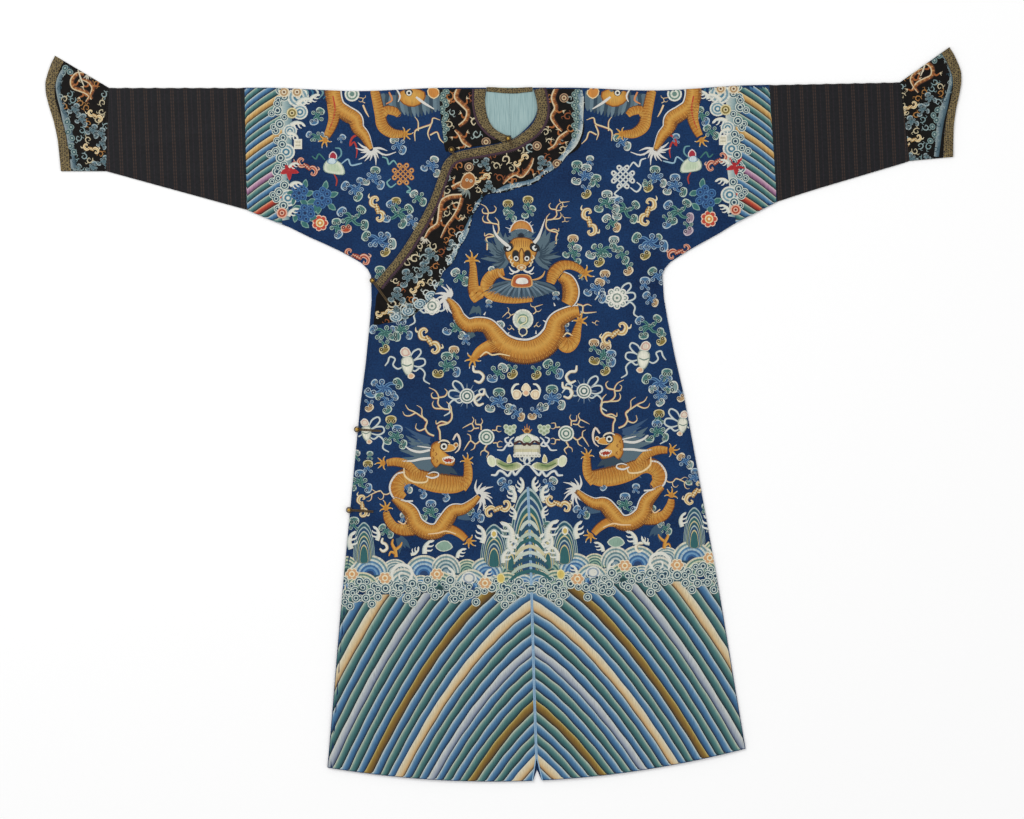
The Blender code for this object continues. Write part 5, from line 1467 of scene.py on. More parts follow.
# ground clouds: middle, turn, flip, kind, stem, tones of the heads, size
GROUND_CLOUDS = (
    (317, 116, 80, 1, "pair", "g", "gb", 0.9), (317, 137, 0, 1, "bar", "g", "bg", 0.7),
    (374, 178, 10, 1, "tri", "b", "gwb", 0.95), (355, 189, 160, 1, "tri", "b", "gbb", 1.0),
    (352, 219, 0, 1, "quad", "g", "bgrg", 1.15), (337, 228, 40, 1, "pair", "g", "gb", 0.95),
    (379, 240, 0, 1, "bar", "b", "gwb", 1.1), (385, 250, 180, 1, "solo", "b", "o", 0.95),
    (398, 214, 10, -1, "quad", "g", "gbgb", 1.1), (396, 203, 0, 1, "solo", "g", "o", 0.9),
    (418, 198, 0, 1, "pair", "g", "wg", 0.9), (412, 222, 10, 1, "pair", "b", "bw", 0.8),
    (432, 166, 20, 1, "tri", "b", "wbw", 0.85), (380, 272, 0, 1, "solo", "g", "g", 0.95),
    (398, 145, 10, 1, "pair", "b", "wb", 0.95), (342, 138, 40, 1, "solo", "b", "b", 0.6),
    (385, 333, 0, 1, "bar", "g", "bgb", 1.0), (401, 330, 0, -1, "tri", "g", "bbg", 1.0),
    (384, 347, 180, 1, "solo", "g", "o", 1.0), (456, 328, 20, -1, "tri", "g", "gwb", 0.95),
    (466, 339, 0, 1, "solo", "b", "b", 0.8), (460, 277, 0, 1, "pair", "g", "wg", 1.0),
    (447, 366, 0, -1, "tri", "g", "gbo", 1.15), (454, 352, 0, 1, "solo", "g", "p", 0.95),
    (384, 388, 0, -1, "bar", "b", "gbb", 1.2), (387, 402, 180, 1, "tri", "b", "gbg", 0.95),
    (369, 406, 180, 1, "solo", "b", "p", 0.85), (391, 422, 0, 1, "solo", "g", "o", 1.0),
    (396, 437, 10, 1, "tri", "g", "bgg", 1.0), (498, 373, 0, -1, "pair", "g", "wb", 1.1),
    (512, 372, 180, 1, "solo", "g", "o", 1.0), (536, 373, 180, 1, "solo", "g", "o", 0.95),
    (553, 369, 0, 1, "pair", "g", "gb", 1.1), (499, 402, 0, 1, "tri", "b", "gww", 1.15),
    (517, 413, 180, 1, "pair", "b", "pb", 0.9), (536, 412, 180, -1, "pair", "b", "pb", 0.9),
    (552, 399, 0, -1, "tri", "b", "gww", 1.15), (368, 466, 0, 1, "solo", "b", "o", 0.9),
    (360, 482, 0, 1, "tri", "g", "bgb", 1.0), (431, 512, 0, 1, "tri", "g", "bgb", 1.0),
    (476, 515, 170, 1, "pair", "b", "bg", 0.9), (386, 531, 0, 1, "pair", "g", "gg", 0.8),
    (506, 486, 0, 1, "pair", "b", "bw", 0.95), (549, 485, 0, -1, "pair", "b", "wb", 0.95),
    (354, 523, 0, 1, "solo", "g", "g", 0.95), (508, 529, 0, 1, "solo", "g", "g", 0.9),
    (547, 527, 0, 1, "solo", "g", "g", 0.9), (508, 206, 0, 1, "solo", "g", "o", 0.95),
    (510, 216, 0, 1, "pair", "g", "gg", 0.7), (528, 202, 0, 1, "solo", "g", "o", 0.95),
    (529, 212, 0, -1, "pair", "g", "gg", 0.75), (585, 176, 10, -1, "tri", "b", "wgw", 1.0),
    (586, 192, 180, 1, "solo", "b", "o", 0.95), (577, 167, 0, 1, "solo", "g", "g", 1.0),
    (607, 203, 0, 1, "tri", "g", "wgw", 1.05), (625, 210, 20, 1, "quad", "g", "bgwg", 1.05),
    (612, 223, 180, 1, "pair", "g", "pw", 1.0), (596, 180, 10, 1, "solo", "g", "g", 0.9),
    (655, 178, 0, -1, "tri", "b", "gwg", 1.0), (648, 186, 180, 1, "solo", "g", "o", 0.9),
    (675, 186, 0, 1, "tri", "b", "bwg", 1.0), (678, 212, 0, 1, "quad", "g", "bggv", 1.1),
    (667, 222, 180, 1, "solo", "g", "b", 0.95), (688, 229, 180, 1, "solo", "g", "v", 0.95),
    (650, 242, 0, 1, "bar", "b", "gbg", 1.15), (645, 253, 180, 1, "solo", "b", "o", 1.0),
    (573, 241, 0, 1, "solo", "g", "p", 1.0), (574, 254, 30, 1, "tri", "g", "wgg", 0.85),
    (602, 251, 0, -1, "bar", "g", "gwg", 1.0), (599, 260, 180, 1, "solo", "g", "o", 1.0),
    (614, 242, 0, 1, "solo", "g", "w", 0.95), (622, 255, 20, 1, "pair", "g", "gg", 0.9),
    (628, 269, 180, 1, "solo", "g", "p", 0.95), (657, 276, 0, 1, "pair", "b", "gb", 1.0),
    (645, 283, 0, 1, "solo", "b", "b", 0.95), (597, 290, 20, 1, "tri", "b", "pbb", 1.0),
    (605, 276, 0, 1, "solo", "b", "p", 0.95), (651, 299, 180, 1, "pair", "b", "pb", 0.85),
    (583, 275, 40, 1, "solo", "g", "w", 0.6), (649, 327, 0, 1, "quad", "g", "bggg", 1.05),
    (661, 339, 180, 1, "solo", "g", "o", 0.95), (565, 326, 0, 1, "solo", "b", "w", 0.75),
    (604, 355, 10, -1, "tri", "g", "pbo", 1.1), (594, 345, 0, 1, "solo", "g", "p", 0.95),
    (611, 356, 0, 1, "solo", "g", "b", 0.95), (605, 369, 180, 1, "solo", "g", "o", 0.95),
    (660, 383, 0, 1, "bar", "b", "gwb", 1.15), (660, 395, 180, 1, "tri", "b", "wgw", 0.9),
    (667, 375, 0, 1, "solo", "g", "g", 1.0), (681, 396, 180, 1, "solo", "b", "p", 0.85),
    (659, 416, 0, 1, "solo", "g", "o", 1.0), (657, 432, 0, -1, "tri", "g", "bgg", 1.0),
    (685, 461, 0, 1, "pair", "b", "pw", 0.9), (695, 478, 0, 1, "tri", "b", "bgg", 0.8),
    (625, 505, 0, 1, "tri", "g", "bgb", 1.0), (582, 512, 170, 1, "pair", "b", "gb", 0.85),
    (665, 528, 180, 1, "pair", "g", "gw", 0.8), (706, 508, 0, 1, "solo", "g", "g", 0.8),
    (622, 142, 0, 1, "pair", "b", "gw", 0.95), (702, 116, 20, 1, "pair", "g", "gb", 0.95),
    (711, 132, 0, 1, "pair", "g", "gg", 0.85), (676, 138, 0, 1, "solo", "b", "b", 0.7),
    (590, 160, 0, 1, "solo", "b", "w", 0.7), (406, 487, 0, 1, "pair", "b", "bw", 0.7),
    (446, 497, 170, 1, "solo", "b", "b", 0.7), (423, 494, 170, 1, "solo", "b", "b", 0.7),
    (603, 486, 170, 1, "solo", "b", "b", 0.7), (636, 488, 0, 1, "solo", "b", "b", 0.7),
    (404, 517, 0, 1, "solo", "b", "w", 0.75), (652, 510, 0, 1, "solo", "g", "g", 0.75),
    (489, 303, 0, 1, "solo", "b", "w", 0.6), (500, 325, 60, 1, "solo", "b", "w", 0.7),
    (556, 295, 0, 1, "solo", "b", "w", 0.65), (492, 270, -30, 1, "solo", "g", "w", 0.6),
    (441, 282, 0, 1, "solo", "g", "g", 0.5), (358, 340, 0, 1, "solo", "g", "g", 0.7),
    (370, 455, 0, 1, "solo", "g", "g", 0.6), (356, 455, 0, 1, "solo", "g", "w", 0.8),
    (360, 555, 0, 1, "solo", "g", "g", 0.01),
)

# bats: middle, turn, flip, tone, size
GROUND_BATS = (
    (589, 222, -8, 1, "o", 1.0), (377, 209, -12, 1, "o", 0.95), (307, 167, -45, 1, "r", 0.85),
    (357, 257, -60, 1, "r", 0.95), (648, 212, 12, -1, "o", 1.0), (679, 252, 60, -1, "r", 0.85),
    (429, 341, -30, 1, "o", 1.05), (615, 334, 45, -1, "o", 1.05), (717, 162, 45, -1, "r", 0.85),
    (498, 509, 60, -1, "p", 0.95), (558, 504, -60, 1, "p", 0.95), (362, 506, 0, 1, "p", 0.8),
    (695, 493, 30, -1, "o", 0.95),
)

TREASURES = (
    (407, 364, "vase", 0, 1.0, 1), (644, 358, "vase", 0, 1.0, -1), (617, 298, "rosette", 0, 1.0, 1),
    (432, 306, "rosette", 0, 0.7, -1), (467, 396, "drum", 0, 1.0, -1), (584, 391, "drum", 0, 1.0, 1),
    (333, 168, "umbrella", 0, 1.0, 1), (692, 166, "umbrella", 0, 1.0, -1), (403, 174, "knot", 0, 0.95, -1),
    (623, 177, "knot", 0, 1.05, 1), (320, 223, "flower", 0, 0.9, 1), (709, 219, "flower", 0, 0.95, 1),
    (322, 198, "peony", 0, 0.85, 1), (299, 193, "peony", 20, 0.7, 1), (305, 213, "peony", 50, 0.75, 1),
    (706, 197, "peony", 0, 0.95, -1), (289, 170, "star", 0, 0.9, 1), (736, 166, "star", 10, 0.9, 1),
    (298, 144, "seal", 0, 1.0, 1), (723, 140, "seal", 0, 1.0, 1), (366, 432, "vase", 0, 0.8, 1),
    (683, 424, "vase", 0, 0.8, -1), (478, 374, "curl", 0, 0.95, 1), (572, 374, "curl", 0, 0.95, -1),
    (480, 397, "curl", 0, 0.9, -1), (567, 390, "curl", 0, 0.9, 1), (396, 548, "coral", 0, 1.0, 1),
    (664, 540, "coral", 0, 0.95, -1), (384, 545, "curl", 20, 0.7, 1), (640, 545, "curl", 0, 0.7, -1),
)


def peak(work, u, top, base, half, tones, level):
    """Nested outlines of a rock that stands in the waves, thin light ones between broad dark ones."""
    share = 1.0
    for index, colour in enumerate(tones):
        wide, high = half * (0.15 + 0.85 * share), (base - top) * (0.2 + 0.8 * share)
        outline = [(u - wide, base), (u - wide * 0.98, base - high * 0.55), (u - wide * 0.66, base - high * 0.84),
            (u - wide * 0.3, base - high * 0.96), (u, base - high),
                   (u + wide * 0.3, base - high * 0.96), (u + wide * 0.66, base - high * 0.84),
                   (u + wide * 0.98, base - high * 0.55), (u + wide, base)]
        patch(work, outline, colour, level + index * 0.5, steps=3, crown=0.05, middle=(u, base - high * 0.35))
        share -= (0.045 if index % 2 == 0 else 0.085) * 13 / len(tones)


ROCK = ("b3c4bf", "275a68", "b3c4bf", "1f4a74", "b3c4bf", "2a6468", "d2c48e", "275a68", "b3c4bf", "1f4a74", "dccb92",
    "2a6468", "b9a860", "1f4a74")
ROCK_SMALL = ("a9bcb8", "24566a", "b3c4bf", "1f4a70", "b9c2b0", "2a6468", "cfc79a", "24566a", "b3c4bf", "1f4a70",
    "d2c48e", "2a6468")


def foam(work, u, v, turn, size, flip=1):
    """White spray with small claws."""
    at = spot(u, v, turn, size, flip)
    stroke(work, at((0, 8, 5.5), (-2, 1, 5.0), (0, -6, 3.2), (4, -10, 0.8)),
        [(-1, 0, "9db0ad"), (-0.6, 0.2, "cfd6cf"), (0.0, 0.4, "ecebe0"), (1, 0.1, "e8e4cf")], 6, 4)
    for y, reach in ((-6, 3.4), (-1, 4.6), (4, 5.2)):
        stroke(work, at((0, y, 2.2), (reach, y - 1.5, 1.6), (reach + 1.6, y - 4, 0.6)), "e8e9e0", 7, 3)


ARC_BLUE = ("dcd8c2", "6f929c", "cfd6cc", "5282a8", "a8c0cc", "38699c", "6f9cc0", "2f629a", "1d3f6e")
ARC_GREEN = ("dcd6b8", "64897e", "ccd0b2", "46726e", "aabfa6", "336468", "8fae98", "2a5f60", "1a4044")
ARC_WHITE = ("dedacb", "7c989c", "d4d5c8", "64868e", "bcc8c4", "547888", "c4ccc6", "456a7c", "8fa6b0")
# wave arcs of the wearer's right half and the middle: middle, foot, half width, height, tones, level
WAVE_ARCS = (
    (347, 573, 13, 17, ARC_GREEN, 0), (370, 575, 20, 20, ARC_BLUE, 1), (395, 572, 14, 13, ARC_WHITE, 0),
    (424, 575, 20, 20, ARC_BLUE, 0), (446, 573, 16, 19, ARC_WHITE, 1), (467, 573, 13, 14, ARC_GREEN, 0),
    (487, 576, 19, 19, ARC_BLUE, 1), (511, 576, 17, 21, ARC_GREEN, 0), (345, 590, 12, 15, ARC_BLUE, 3),
    (362, 590, 18, 18, ARC_GREEN, 4), (384, 589, 15, 14, ARC_WHITE, 3), (403, 590, 17, 22, ARC_WHITE, 4),
    (421, 590, 14, 15, ARC_BLUE, 3), (440, 590, 17, 19, ARC_GREEN, 4), (456, 589, 13, 14, ARC_WHITE, 3),
    (471, 590, 18, 21, ARC_BLUE, 4), (490, 590, 15, 16, ARC_WHITE, 3), (507, 591, 17, 19, ARC_GREEN, 4),
    (524, 589, 14, 18, ARC_BLUE, 3),
)
WAVE_FOAM = (
    (351, 541, 0, 1.0, 1), (377, 534, 0, 0.8, -1), (427, 547, 20, 0.9, 1), (415, 552, 60, 0.6, -1),
    (482, 535, 0, 1.0, -1), (510, 545, -20, 0.9, 1), (521, 545, 0, 1.1, -1), (460, 553, 30, 0.7, 1),
    (521, 486, 20, 0.8, -1), (513, 495, 0, 0.9, -1), (514, 514, 0, 0.7, -1), (452, 575, 0, 0.8, -1),
    (487, 575, 10, 0.7, 1), (352, 570, 0, 0.6, 1), (509, 532, -15, 1.2, -1), (518, 549, -10, 1.2, -1),
    (505, 556, 15, 0.9, 1),
)
WAVE_BLOOMS = ((385, 578), (437, 574), (485, 583), (352, 574))
WAVE_DROPS = (
    (372, 604), (413, 603), (408, 597), (366, 598), (378, 597), (455, 599), (461, 597), (476, 602), (505, 605),
    (500, 598), (510, 598), (345, 602), (356, 598), (350, 606), (470, 594), (435, 596), (520, 592),
)


def ring_head(work, u, v, radius, level, tones=("d9dfd4", "2a5a6a", "cbd7cf", "173c54")):
    disc(work, u, v, [(radius, tones[0]), (radius * 0.80, tones[1]), (radius * 0.55, tones[2]),
        (radius * 0.32, tones[3])], level, sides=12, rise=0.05)


def waves(work):
    peak(work, 529, 488, 572, 18, ROCK, 2)
    for index in range(9):
        v = 521 + index * 6.2
        for side in (-1, 1):
            reach = side * (8.5 + index * 1.5)
            middle = 528.0 + 0.0335 * (v - 488)
            stroke(work, [(middle, v, 3.4), (middle + reach * 0.6, v + 3.4, 3.4), (middle + reach, v + 9.5, 2.4)],
                   ("ccd6ca", "1f4f68", "b9c8b8", "2a6468", "d6cfa8")[index % 5], 13, 3)
    for half in (0, 1):
        def at(u, v):
            return mirror(u, v) if half else (u, v)

        side = -1 if half else 1
        for u, top, base, wide, tones in ((494, 524, 566, 12, ROCK_SMALL), (364, 522, 562, 9.5, ROCK_SMALL),
            (511, 532, 570, 8, ROCK_SMALL[1:])):
            u_here, v_here = at(u, top)
            peak(work, u_here, v_here, v_here + base - top, wide, tones, 1)
        u_here, v_here = at(494, 534)
        disc(work, u_here, v_here, [(3.4, "f0efe0"), (2.2, "d9bf6a")], 8, 1.3, sides=8)
        base_rows = [(*at(u, 581 - 3 * math.sin(u * 0.11)), 24.0) for u in range(344, 530, 12)] + [(*at(531, 582),
            24.0)]
        stroke(work, base_rows, [(-1, 0, "33606c"), (0, 0.05, "264f66"), (1, 0, "1f4660")], -1, 2)
        for u, v, wide, high, tones, level in WAVE_ARCS:
            u_here, v_here = at(u, v)
            rings = [(wide * (1 - index * 0.098), colour) for index, colour in enumerate(tones)]
            disc(work, u_here, v_here, rings, 1 + level * 1.6, high / wide, 0.0, sides=18, rise=0.05, arch=True)
        u_here, v_here = at(403, 575)
        curl = spot(u_here, v_here, 0, 1.0, side)
        stroke(work, curl((-10, 6, 2.5), (-11, -3, 3.2), (-4, -10, 3.4), (6, -8, 3.2), (9, 0, 2.8), (4, 6, 2.4),
            (-3, 4, 2.0), (-3, -2, 1.6), (2, -2, 1.0)), "eae9de", 9, 4)
        u_here, v_here = at(469, 578)
        disc(work, u_here, v_here, [(7.5, "e4e4da"), (6, "9aa9b8"), (4.2, "e4e4da")], 11, 0.85, sides=16)
        for u, v, turn, size, flip in WAVE_FOAM:
            u_here, v_here = at(u, v)
            foam(work, u_here, v_here, turn * side, size, flip * side)
        for index in range(25):
            u = 344 + index * 7.6
            for row, (shift, drop, radius) in enumerate(((0.0, 583, 4.9), (3.6, 590, 5.0), (1.2, 596, 4.2))):
                if row == 2 and math.sin(u * 0.125 + 1.3) < 0.15:
                    continue
                u_here, v_here = at(u + shift, drop + 3.0 * math.sin(u * 0.29 + row * 1.7))
                ring_head(work, u_here, v_here, radius * (0.92 + 0.12 * math.sin(u * 1.3 + row)), 10 + row)
        for u, v in WAVE_DROPS:
            u_here, v_here = at(u, v)
            ring_head(work, u_here, v_here, 4.5, 13)
        for u, v in WAVE_BLOOMS:
            u_here, v_here = at(u, v)
            for index in range(6):
                angle = math.radians(index * 60)
                disc(work, u_here + 4.2 * math.cos(angle), v_here + 3.4 * math.sin(angle),
                    [(3.0, "efe6cc"), (2.1, "d9a878")], 14, sides=8)
            disc(work, u_here, v_here, [(3.2, "f2e6c4"), (1.8, "d9a060")], 16, sides=10)
    for u, v in ((501, 578), (561, 574)):
        patch(work, [(u - 4, v - 2), (u, v - 5), (u + 4, v - 1), (u + 2, v + 5), (u - 3, v + 4)], "dcc46a", 12,
            rim="efe2a0")
    for u, v, wide in ((444, 546, 9), (616, 542, 9)):
        patch(work, [(u - wide, v), (u - 3, v - 5), (u + 4, v - 5), (u + wide, v + 1), (u + 3, v + 5),
            (u - 4, v + 5)], "8fae9c", 4, rim="cfd8c8")


STRIPE_SLOPE = ((0, 0.64), (15, 0.80), (35, 0.96), (55, 1.06), (75, 1.19), (95, 1.29), (115, 1.39), (135, 1.47),
    (165, 1.60), (215, 1.74))
ACCENTS = {0: "cream", 5: "gold", 10: "white", 14: "cream", 18: "gold", 23: "white", 27: "cream", 32: "gold",
    37: "white"}
BAND_TONES = {
    "blue": ("dfe2d6", "bccbcf", "7fa3bd", "4f80a8", "376a96", "234a70", "10233c", "091424"),
    "green": ("d8dcc8", "b3c2b0", "7f9f95", "4f807f", "36696c", "21494e", "0f2830", "08171e"),
    "cream": ("ece7d6", "e6dec6", "e2d4b2", "dfcca6", "d8bd90", "c29c6a", "5a4632", "2a221c"),
    "gold": ("d6c890", "b8a055", "9c8038", "8a6c2c", "775a24", "5a421c", "2f2412", "1a150c"),
    "white": ("e4e4da", "d8dad4", "c6cccd", "b2bac2", "97a2b2", "66738c", "2a3650", "152034"),
    "amber": ("ecdcb2", "e6cc94", "dcb87a", "d0a664", "ba8e4c", "8f6a34", "4a3418", "241a0e"),
    "pink": ("e6d6da", "d9bccb", "c8a0b8", "b287a2", "96688a", "6c4868", "342238", "1c1420"),
    "red": ("e8bc9c", "dc9a76", "cf6a4c", "bc422c", "9c3020", "742016", "3c120c", "220a08"),
}
BAND_SHARES = ((0.0, 0.0), (0.07, 0.30), (0.20, 0.55), (0.38, 0.62), (0.60, 0.56), (0.79, 0.32), (0.92, 0.10),
    (1.0, 0.0))


def stripe_curve(start, steps=90, reach=216.0):
    """Depth of one stripe line at even distances from the centre: steeper outward and downward."""
    depth, rows = start, []
    step = reach / steps
    for index in range(steps + 1):
        away = index * step
        waver = 0.42 * math.sin(away * 0.19 + start * 0.31) + 0.22 * math.sin(away * 0.43 + start * 0.17)
        rows.append((away, depth + waver * min(1.0, away / 12.0)))
        slope = float(np.interp(away + step / 2, [r[0] for r in STRIPE_SLOPE], [r[1] for r in STRIPE_SLOPE]))
        depth += step * (slope + 0.0022 * (depth - 640.0))
    return rows


def stripes(name):
    """Bands of standing water from the wave zone to the hem, one ribbon of stitches for each."""
    work = Needlework(name, "body_left", "body_right", "front_overlap")
    for side in (-1, 1):
        curves = [stripe_curve(760.0 - 11.0 * (index - 0.5)) for index in range(-4, 42)]
        for number, (low, high) in enumerate(zip(curves, curves[1:])):
            index = number - 4
            tones = BAND_TONES[ACCENTS.get(index, "blue" if index % 2 else "green")]
            grow = 1.5 if ACCENTS.get(index) == "cream" else 0.0
            points, tints, grain, faces = [], [], [], []
            inside = []
            for (away, lower), (_, upper) in zip(low, high):
                upper = upper - grow
                end = lower
                inside.append(away * U < outer_edge(min((lower - FOLD_V) * U, ROBE_LENGTH)) + 0.004)
                for share, height in BAND_SHARES:
                    depth = min(max(upper + (end - upper) * share, 588.0), 900.0)
                    down = (depth - FOLD_V) * U
                    across = max(away * U, centre_edge(down) + 0.0018)
                    down = min(down, ROBE_LENGTH - 0.0012 - 0.046 * (across / HEM_HALF) ** 2)
                    edge = outer_edge(min(down + hem_rise(across, down), ROBE_LENGTH)) - 0.0012
                    across = min(across, edge)
                    x, y = lay(side * across, down)
                    points.append((x / U + CENTRE_U, CENTRE_V - y / U, 0.12 + height * 0.8 + (0.03 if grow else 0.0)))
                    grain.append((away * U * 1.6, (depth - upper) * U))
            count = len(BAND_SHARES)
            tints = [tone(tones[column]) for _ in low for column in range(count)]
            for row in range(len(low) - 1):
                if not inside[row]:
                    continue
                for column in range(count - 1):
                    here = row * count + column
                    corners = (here, here + 1, here + count + 1, here + count)
                    area = 0.0
                    for a, b in zip(corners, corners[1:] + corners[:1]):
                        area += points[a][0] * points[b][1] - points[b][0] * points[a][1]
                    if abs(area) > 0.02:
                        faces.append(corners)
            if faces:
                work.add(points, faces, tints, grain, (530.0, 640.0))
    return work.finish()


def sleeve_waves(work, turned):
    """Slanting water stripes, ringed clouds and spray near the sleeve seam."""
    def at(rows):
        return [(1017.6 - row[0], row[1] - 3.2, *row[2:]) for row in rows] if turned else rows

    accents = {1: "amber", 6: "amber", 11: "pink", 15: "red"}
    line = spline([(241.6, 8.4), (250, 1.6), (258, -4.6), (268, -11.4), (282, -20.0)], 3)
    for index in range(-3, 20):
        foot = 112.5 + (index - 0.5) * 7.25
        tones = BAND_TONES[accents.get(index, "blue" if index % 2 else "green")]
        points, faces, tints, grain = [], [], [], []
        for u, shift in line:
            for share, height in BAND_SHARES:
                seam = SLEEVE_SEAM[0][1] + (SLEEVE_SEAM[1][1] - SLEEVE_SEAM[0][1]) * min(1.0,
                    max(0.0, (foot - FOLD_V) * U / SLEEVE_SEAM[1][0]))
                v = foot + shift + (share - 0.5) * 7.25
                u_here, v_here = at([(max(u, CENTRE_U - seam / U + 0.6), v)])[0]
                points.append((u_here, v_here, 0.12 + height * 0.8))
                tints.append(tone(tones[BAND_SHARES.index((share, height))]))
                grain.append((u * U, share * 7.25 * U))
        count = len(BAND_SHARES)
        for row in range(len(line) - 1):
            for column in range(count - 1):
                here = row * count + column
                if points[here][1] > 87.9:
                    faces.append((here, here + 1, here + count + 1, here + count))
        if faces:
            work.add(points, faces, tints, grain, at([(262, 150)])[0])
    stroke(work, at([(284, 88, 13), (286, 120, 12), (286, 160, 11), (283, 195, 10), (286, 220, 7)]),
        [(-1, 0, "5f8490"), (0, 0.1, "9fb6b6"), (1, 0, "d0d6cc")], 2, 3)
    for index in range(19):
        v = 90 + index * 6.8
        u = 280 + 4.5 * math.sin(index * 1.9)
        u_here, v_here = at([(u, v)])[0]
        ring_head(work, u_here, v_here, 4.6 + 0.6 * math.sin(index * 2.7), 5 + index % 3)
        if index % 2:
            u_here, v_here = at([(u - 6, v + 3)])[0]
            ring_head(work, u_here, v_here, 3.8, 5 + index % 2)
    for u, v, wide in ((286, 152, 9), (298, 97, 11), (300, 112, 8), (288, 198, 9), (290, 131, 7)):
        u_here, v_here = at([(u, v)])[0]
        disc(work, u_here, v_here, [(wide, "e2e3d8"), (wide * 0.8, "7fa0ac"), (wide * 0.6, "d9dcd2"),
            (wide * 0.42, "4a7f96"), (wide * 0.2, "e2e3d8")], 4, 0.95, sides=18, rise=0.04)
    for u, v, turn, size in ((297, 124, 80, 0.8), (303, 101, 60, 0.9), (295, 184, 70, 0.7), (293, 135, 110, 0.7),
        (313, 98, 40, 0.7), (292, 212, 40, 0.7), (293, 165, 60, 0.6)):
        u_here, v_here = at([(u, v)])[0]
        foam(work, u_here, v_here, -turn if turned else turn, size, -1 if turned else 1)
    for u, v, kind in ((284, 92, "p"), (297, 92, "p"), (292, 113, "o"), (282, 213, "r")):
        u_here, v_here = at([(u, v)])[0]
        rim, fill, eye = HEADS[kind]
        disc(work, u_here, v_here, [(5.5, rim), (4, fill), (2.4, rim), (1.2, eye)], 8, sides=14)
    for index in range(7):
        u_here = 300 + index * 5.0
        path = at([(u_here, 88, 2.0), (u_here + 3, 93, 2.0), (u_here + 1 - index * 0.6, 99, 0.8)])
        stroke(work, path, ("d5dbd0", "6f979c", "2f6f8f")[index % 3], 3, 3)


FACING_DRAGONS = (
    ((459, 87, 3.4), (456, 97, 3.4), (462, 104, 3.4), (468, 111, 3.2), (466, 120, 3.0), (459, 126, 2.2)),
    ((455, 130, 1.6), (460, 135, 3.0), (464, 142, 3.4), (471, 147, 2.4)),
    ((470, 181, 3.2), (460, 184, 3.6), (452, 188, 3.2)),
    ((462, 196, 3.4), (450, 197, 3.6), (442, 202, 3.6), (440, 213, 3.4), (438, 224, 3.4), (430, 230, 2.8),
    (425, 238, 1.6)),
    ((462, 198, 2.8), (459, 208, 2.8), (453, 218, 2.4), (447, 226, 2.2), (441, 238, 1.2)),
    ((557, 87, 3.4), (553, 98, 3.4), (556, 108, 3.2), (552, 117, 3.0), (557, 126, 2.4), (562, 131, 1.6)),
    ((568, 132, 2.6), (560, 138, 3.2), (555, 146, 2.6), (548, 150, 1.6)),
    ((503, 184, 1.2), (508, 178, 2.8), (515, 174, 2.8), (522, 176, 2.8), (530, 166, 2.6), (533, 158, 1.6)),
)
FACING_CLOUDS = (
    (485, 164, 0.7), (489, 187, 0.7), (543, 163, 0.8), (430, 256, 0.9), (424, 270, 0.9), (408, 278, 1.0),
    (397, 296, 0.95), (410, 312, 0.9), (452, 245, 0.6), (396, 311, 0.6),
)
FACING_ROSETTES = ((486, 142), (537, 146), (557, 164), (469, 167), (564, 98))
FACING_SWIRLS = (
    (497, 166), (483, 176), (449, 258), (462, 228), (415, 258), (545, 132), (446, 240), (477, 134), (548, 158),
    (430, 282), (521, 150), (450, 96), (452, 112), (472, 98), (475, 122), (449, 124), (549, 97), (570, 100),
    (568, 116), (549, 141), (562, 150), (571, 128), (476, 160), (493, 156), (506, 160), (512, 168), (541, 172),
    (530, 148), (500, 178), (478, 190), (492, 149), (515, 182), (560, 142), (526, 172), (456, 206), (447, 213),
    (470, 208), (430, 214), (428, 226), (420, 246), (433, 246), (452, 232), (417, 270), (400, 288), (392, 304),
    (405, 304), (436, 266), (424, 258), (441, 252), (462, 217), (447, 190), (459, 166), (448, 178), (455, 155),
    (468, 150), (437, 205), (412, 300), (402, 315), (386, 322), (396, 281), (408, 262),
)
CUFF_SWIRLS = (
    (64, 99), (64, 106), (79, 138), (76, 157), (102, 103), (80, 103), (104, 94), (81, 168), (88, 140), (100, 154),
    (84, 156), (73, 100), (98, 120), (86, 108), (76, 64), (70, 94), (102, 112), (88, 124), (106, 126), (82, 130),
    (90, 160), (97, 84), (66, 114),
)
FACING_TRIM = (
    (581, 90), (580, 104), (581, 118), (579, 132), (573, 144), (565, 154), (556, 165), (546, 173), (534, 181),
    (520, 185), (508, 188), (497, 192), (486, 197), (479, 205), (474, 214), (470, 224), (466, 234), (460, 246),
    (454, 257), (452, 268), (442, 278), (439, 290), (430, 300), (423, 312), (412, 322), (398, 324), (384, 327),
)


